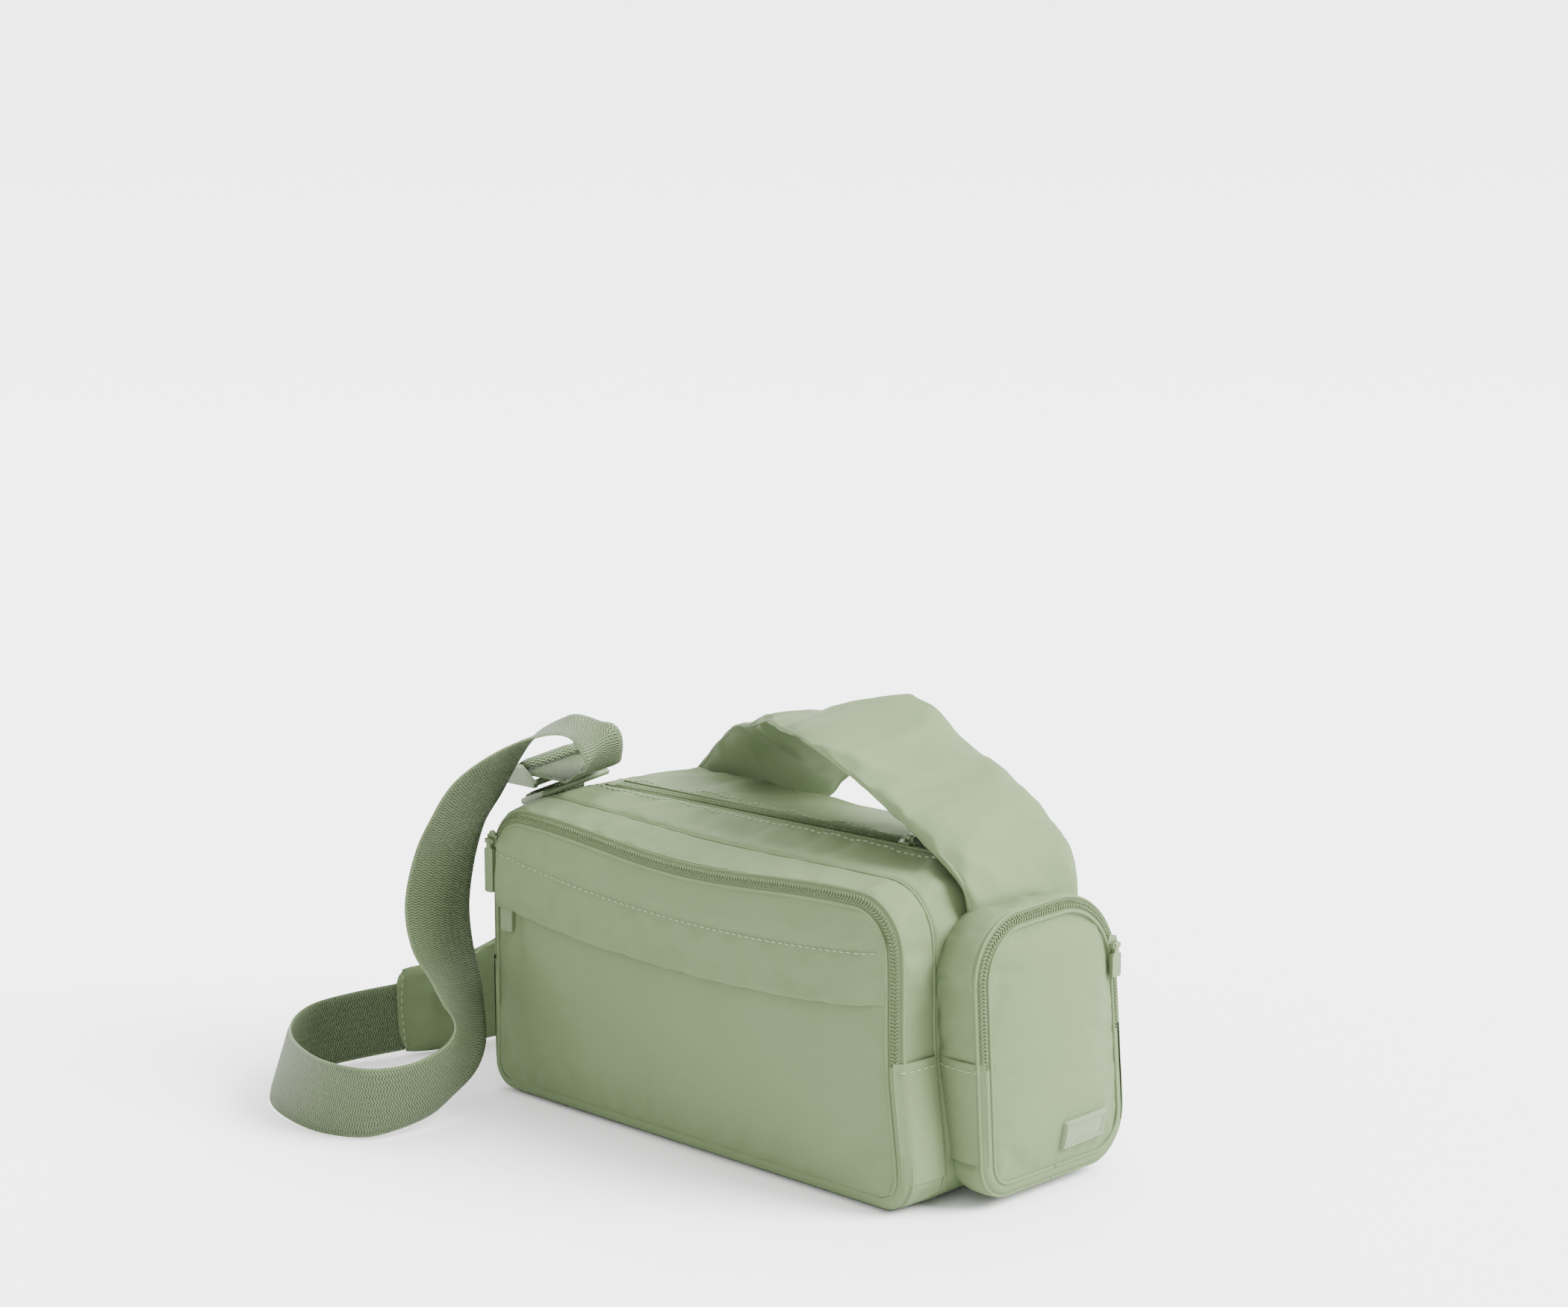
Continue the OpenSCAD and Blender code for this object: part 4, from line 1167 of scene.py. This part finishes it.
ring_lo, ring_hi = (np.array(c) for c in mm_box("ring"))
ring_half = (ring_hi[1] - ring_lo[1]) / 2 - BAR_R
ring_bar = np.array([ring_lo[0] + BAR_R, (ring_lo[1] + ring_hi[1]) / 2 + 0.4,
                     ring_lo[2] + BAR_R + ring_half * hw_across[2]])
fold = BAR_R + 0.9
leg = ring_bar[2] - mm_box("ring_tab")[0][2] - 2
PLY = 0.8                                  # from the tab's middle to each of its plies, below the ring
leg_side = [(PLY, -leg), (PLY, -9), (PLY + 0.2, -6), (fold - 0.35, -2.2)]
tab_points = leg_side + half_turn(fold, 0, math.pi) + [(-x, z) for x, z in leg_side[::-1]]
folded_band("ring_tab_webbing", ring_bar, tab_points, 31, "root", "ring_tab")
for k, drop_by in enumerate((3, 7, leg - 8)):
    outside = ring_bar + np.array([-PLY - 0.75, 0, 0]) - hw_up * (drop_by + 6)
    line = outside + np.linspace(-13.5, 13.5, 9)[:, None] * hw_across
    stitches(f"ring_tab_stitch_{k}", line, (-1, 0, 0))

bar_lo, bar_hi = (np.array(c) for c in mm_box("slider_centre_bar"))
folded_band("strap_tail_webbing", (bar_lo + bar_hi) / 2, half_turn(BAR_R + 0.85, -0.25, math.pi + 0.25), 30,
            "strap_slider", "webbing_tail")

# ---------------------------------------------------------------- hardware and CAD nodes


def finish_node(name, material, bevel=0.0):
    o = nodes[name]
    o.data.materials.clear()
    o.data.materials.append(material)
    o.data.polygons.foreach_set("use_smooth", [True] * len(o.data.polygons))
    if bevel:
        b = o.modifiers.new("bevel", "BEVEL")
        b.width, b.segments, b.limit_method = bevel * 0.001, 3, "ANGLE"
        b.angle_limit = math.radians(35)
        o.modifiers.new("normals", "WEIGHTED_NORMAL")


for name in nodes:
    if name in ("slider_frame", "slider_centre_bar", "ring"):
        finish_node(name, plastic, 0.5)
    elif name.endswith(("_slider", "_pull")):
        finish_node(name, rubber if name == "flap_zip_pull" else plastic, 0.3)
    elif name == "main_zip_stops":
        finish_node(name, plastic, 0.2)
    elif "zip" in name:
        finish_node(name, coil_mat)
    elif not nodes[name].hide_render:
        finish_node(name, cloth_dark)

# ---------------------------------------------------------------- room

# a floor that curves up into a wall behind the bag, all in metres
FLOOR_START, WALL_Y, WALL_R, WALL_TOP, ROOM_SIDE = -14.0, 2.2, 1.4, 5.0, 14
bend = [(WALL_Y + WALL_R * math.sin(a), WALL_R * (1 - math.cos(a)))
        for a in np.linspace(0.1, math.pi / 2, 12)]
prof = [(FLOOR_START, 0.0)] + [(y, 0.0) for y in np.linspace(-2.5, WALL_Y, 6)] + bend \
    + [(WALL_Y + WALL_R, WALL_TOP)]
back_dir = Vector((forward.x, forward.y, 0)).normalized()
v = []
for y, z in prof:
    for x in (-ROOM_SIDE, ROOM_SIDE):
        q = back_dir * y + right * x
        v.append((q.x, q.y, z - 0.0002))
f = [(2 * i, 2 * i + 1, 2 * i + 3, 2 * i + 2) for i in range(len(prof) - 1)]
floor_mesh = bpy.data.meshes.new("floor")
floor_mesh.from_pydata(v, [], f)
floor_mesh.polygons.foreach_set("use_smooth", [True] * len(f))
floor_mesh.materials.append(floor_mat)
floor = bpy.data.objects.new("floor", floor_mesh)
scene.collection.objects.link(floor)

WORLD_STRENGTH, KEY_STRENGTH, TOP_STRENGTH, FILL_STRENGTH = 0.95, 12.4, 4.3, 2.3
world = bpy.data.worlds.new("world")
scene.world = world
world.use_nodes = True
sky = world.node_tree.nodes["Background"]
sky.inputs["Color"].default_value = (1, 1, 1, 1)
sky.inputs["Strength"].default_value = WORLD_STRENGTH


def softbox(name, direction, strength, angle):
    """A wide soft light, so far away that its rays run side by side."""
    data = bpy.data.lights.new(name, "SUN")
    data.energy, data.angle = strength, math.radians(angle)
    o = bpy.data.objects.new(name, data)
    o.rotation_euler = Vector(direction).to_track_quat("Z", "Y").to_euler()
    scene.collection.objects.link(o)


softbox("key", (0.68, 0.4, 0.6), KEY_STRENGTH, 36)
softbox("top", (0.1, 0.2, 1), TOP_STRENGTH, 70)
softbox("fill", (-0.05, -0.9, 0.45), FILL_STRENGTH, 80)
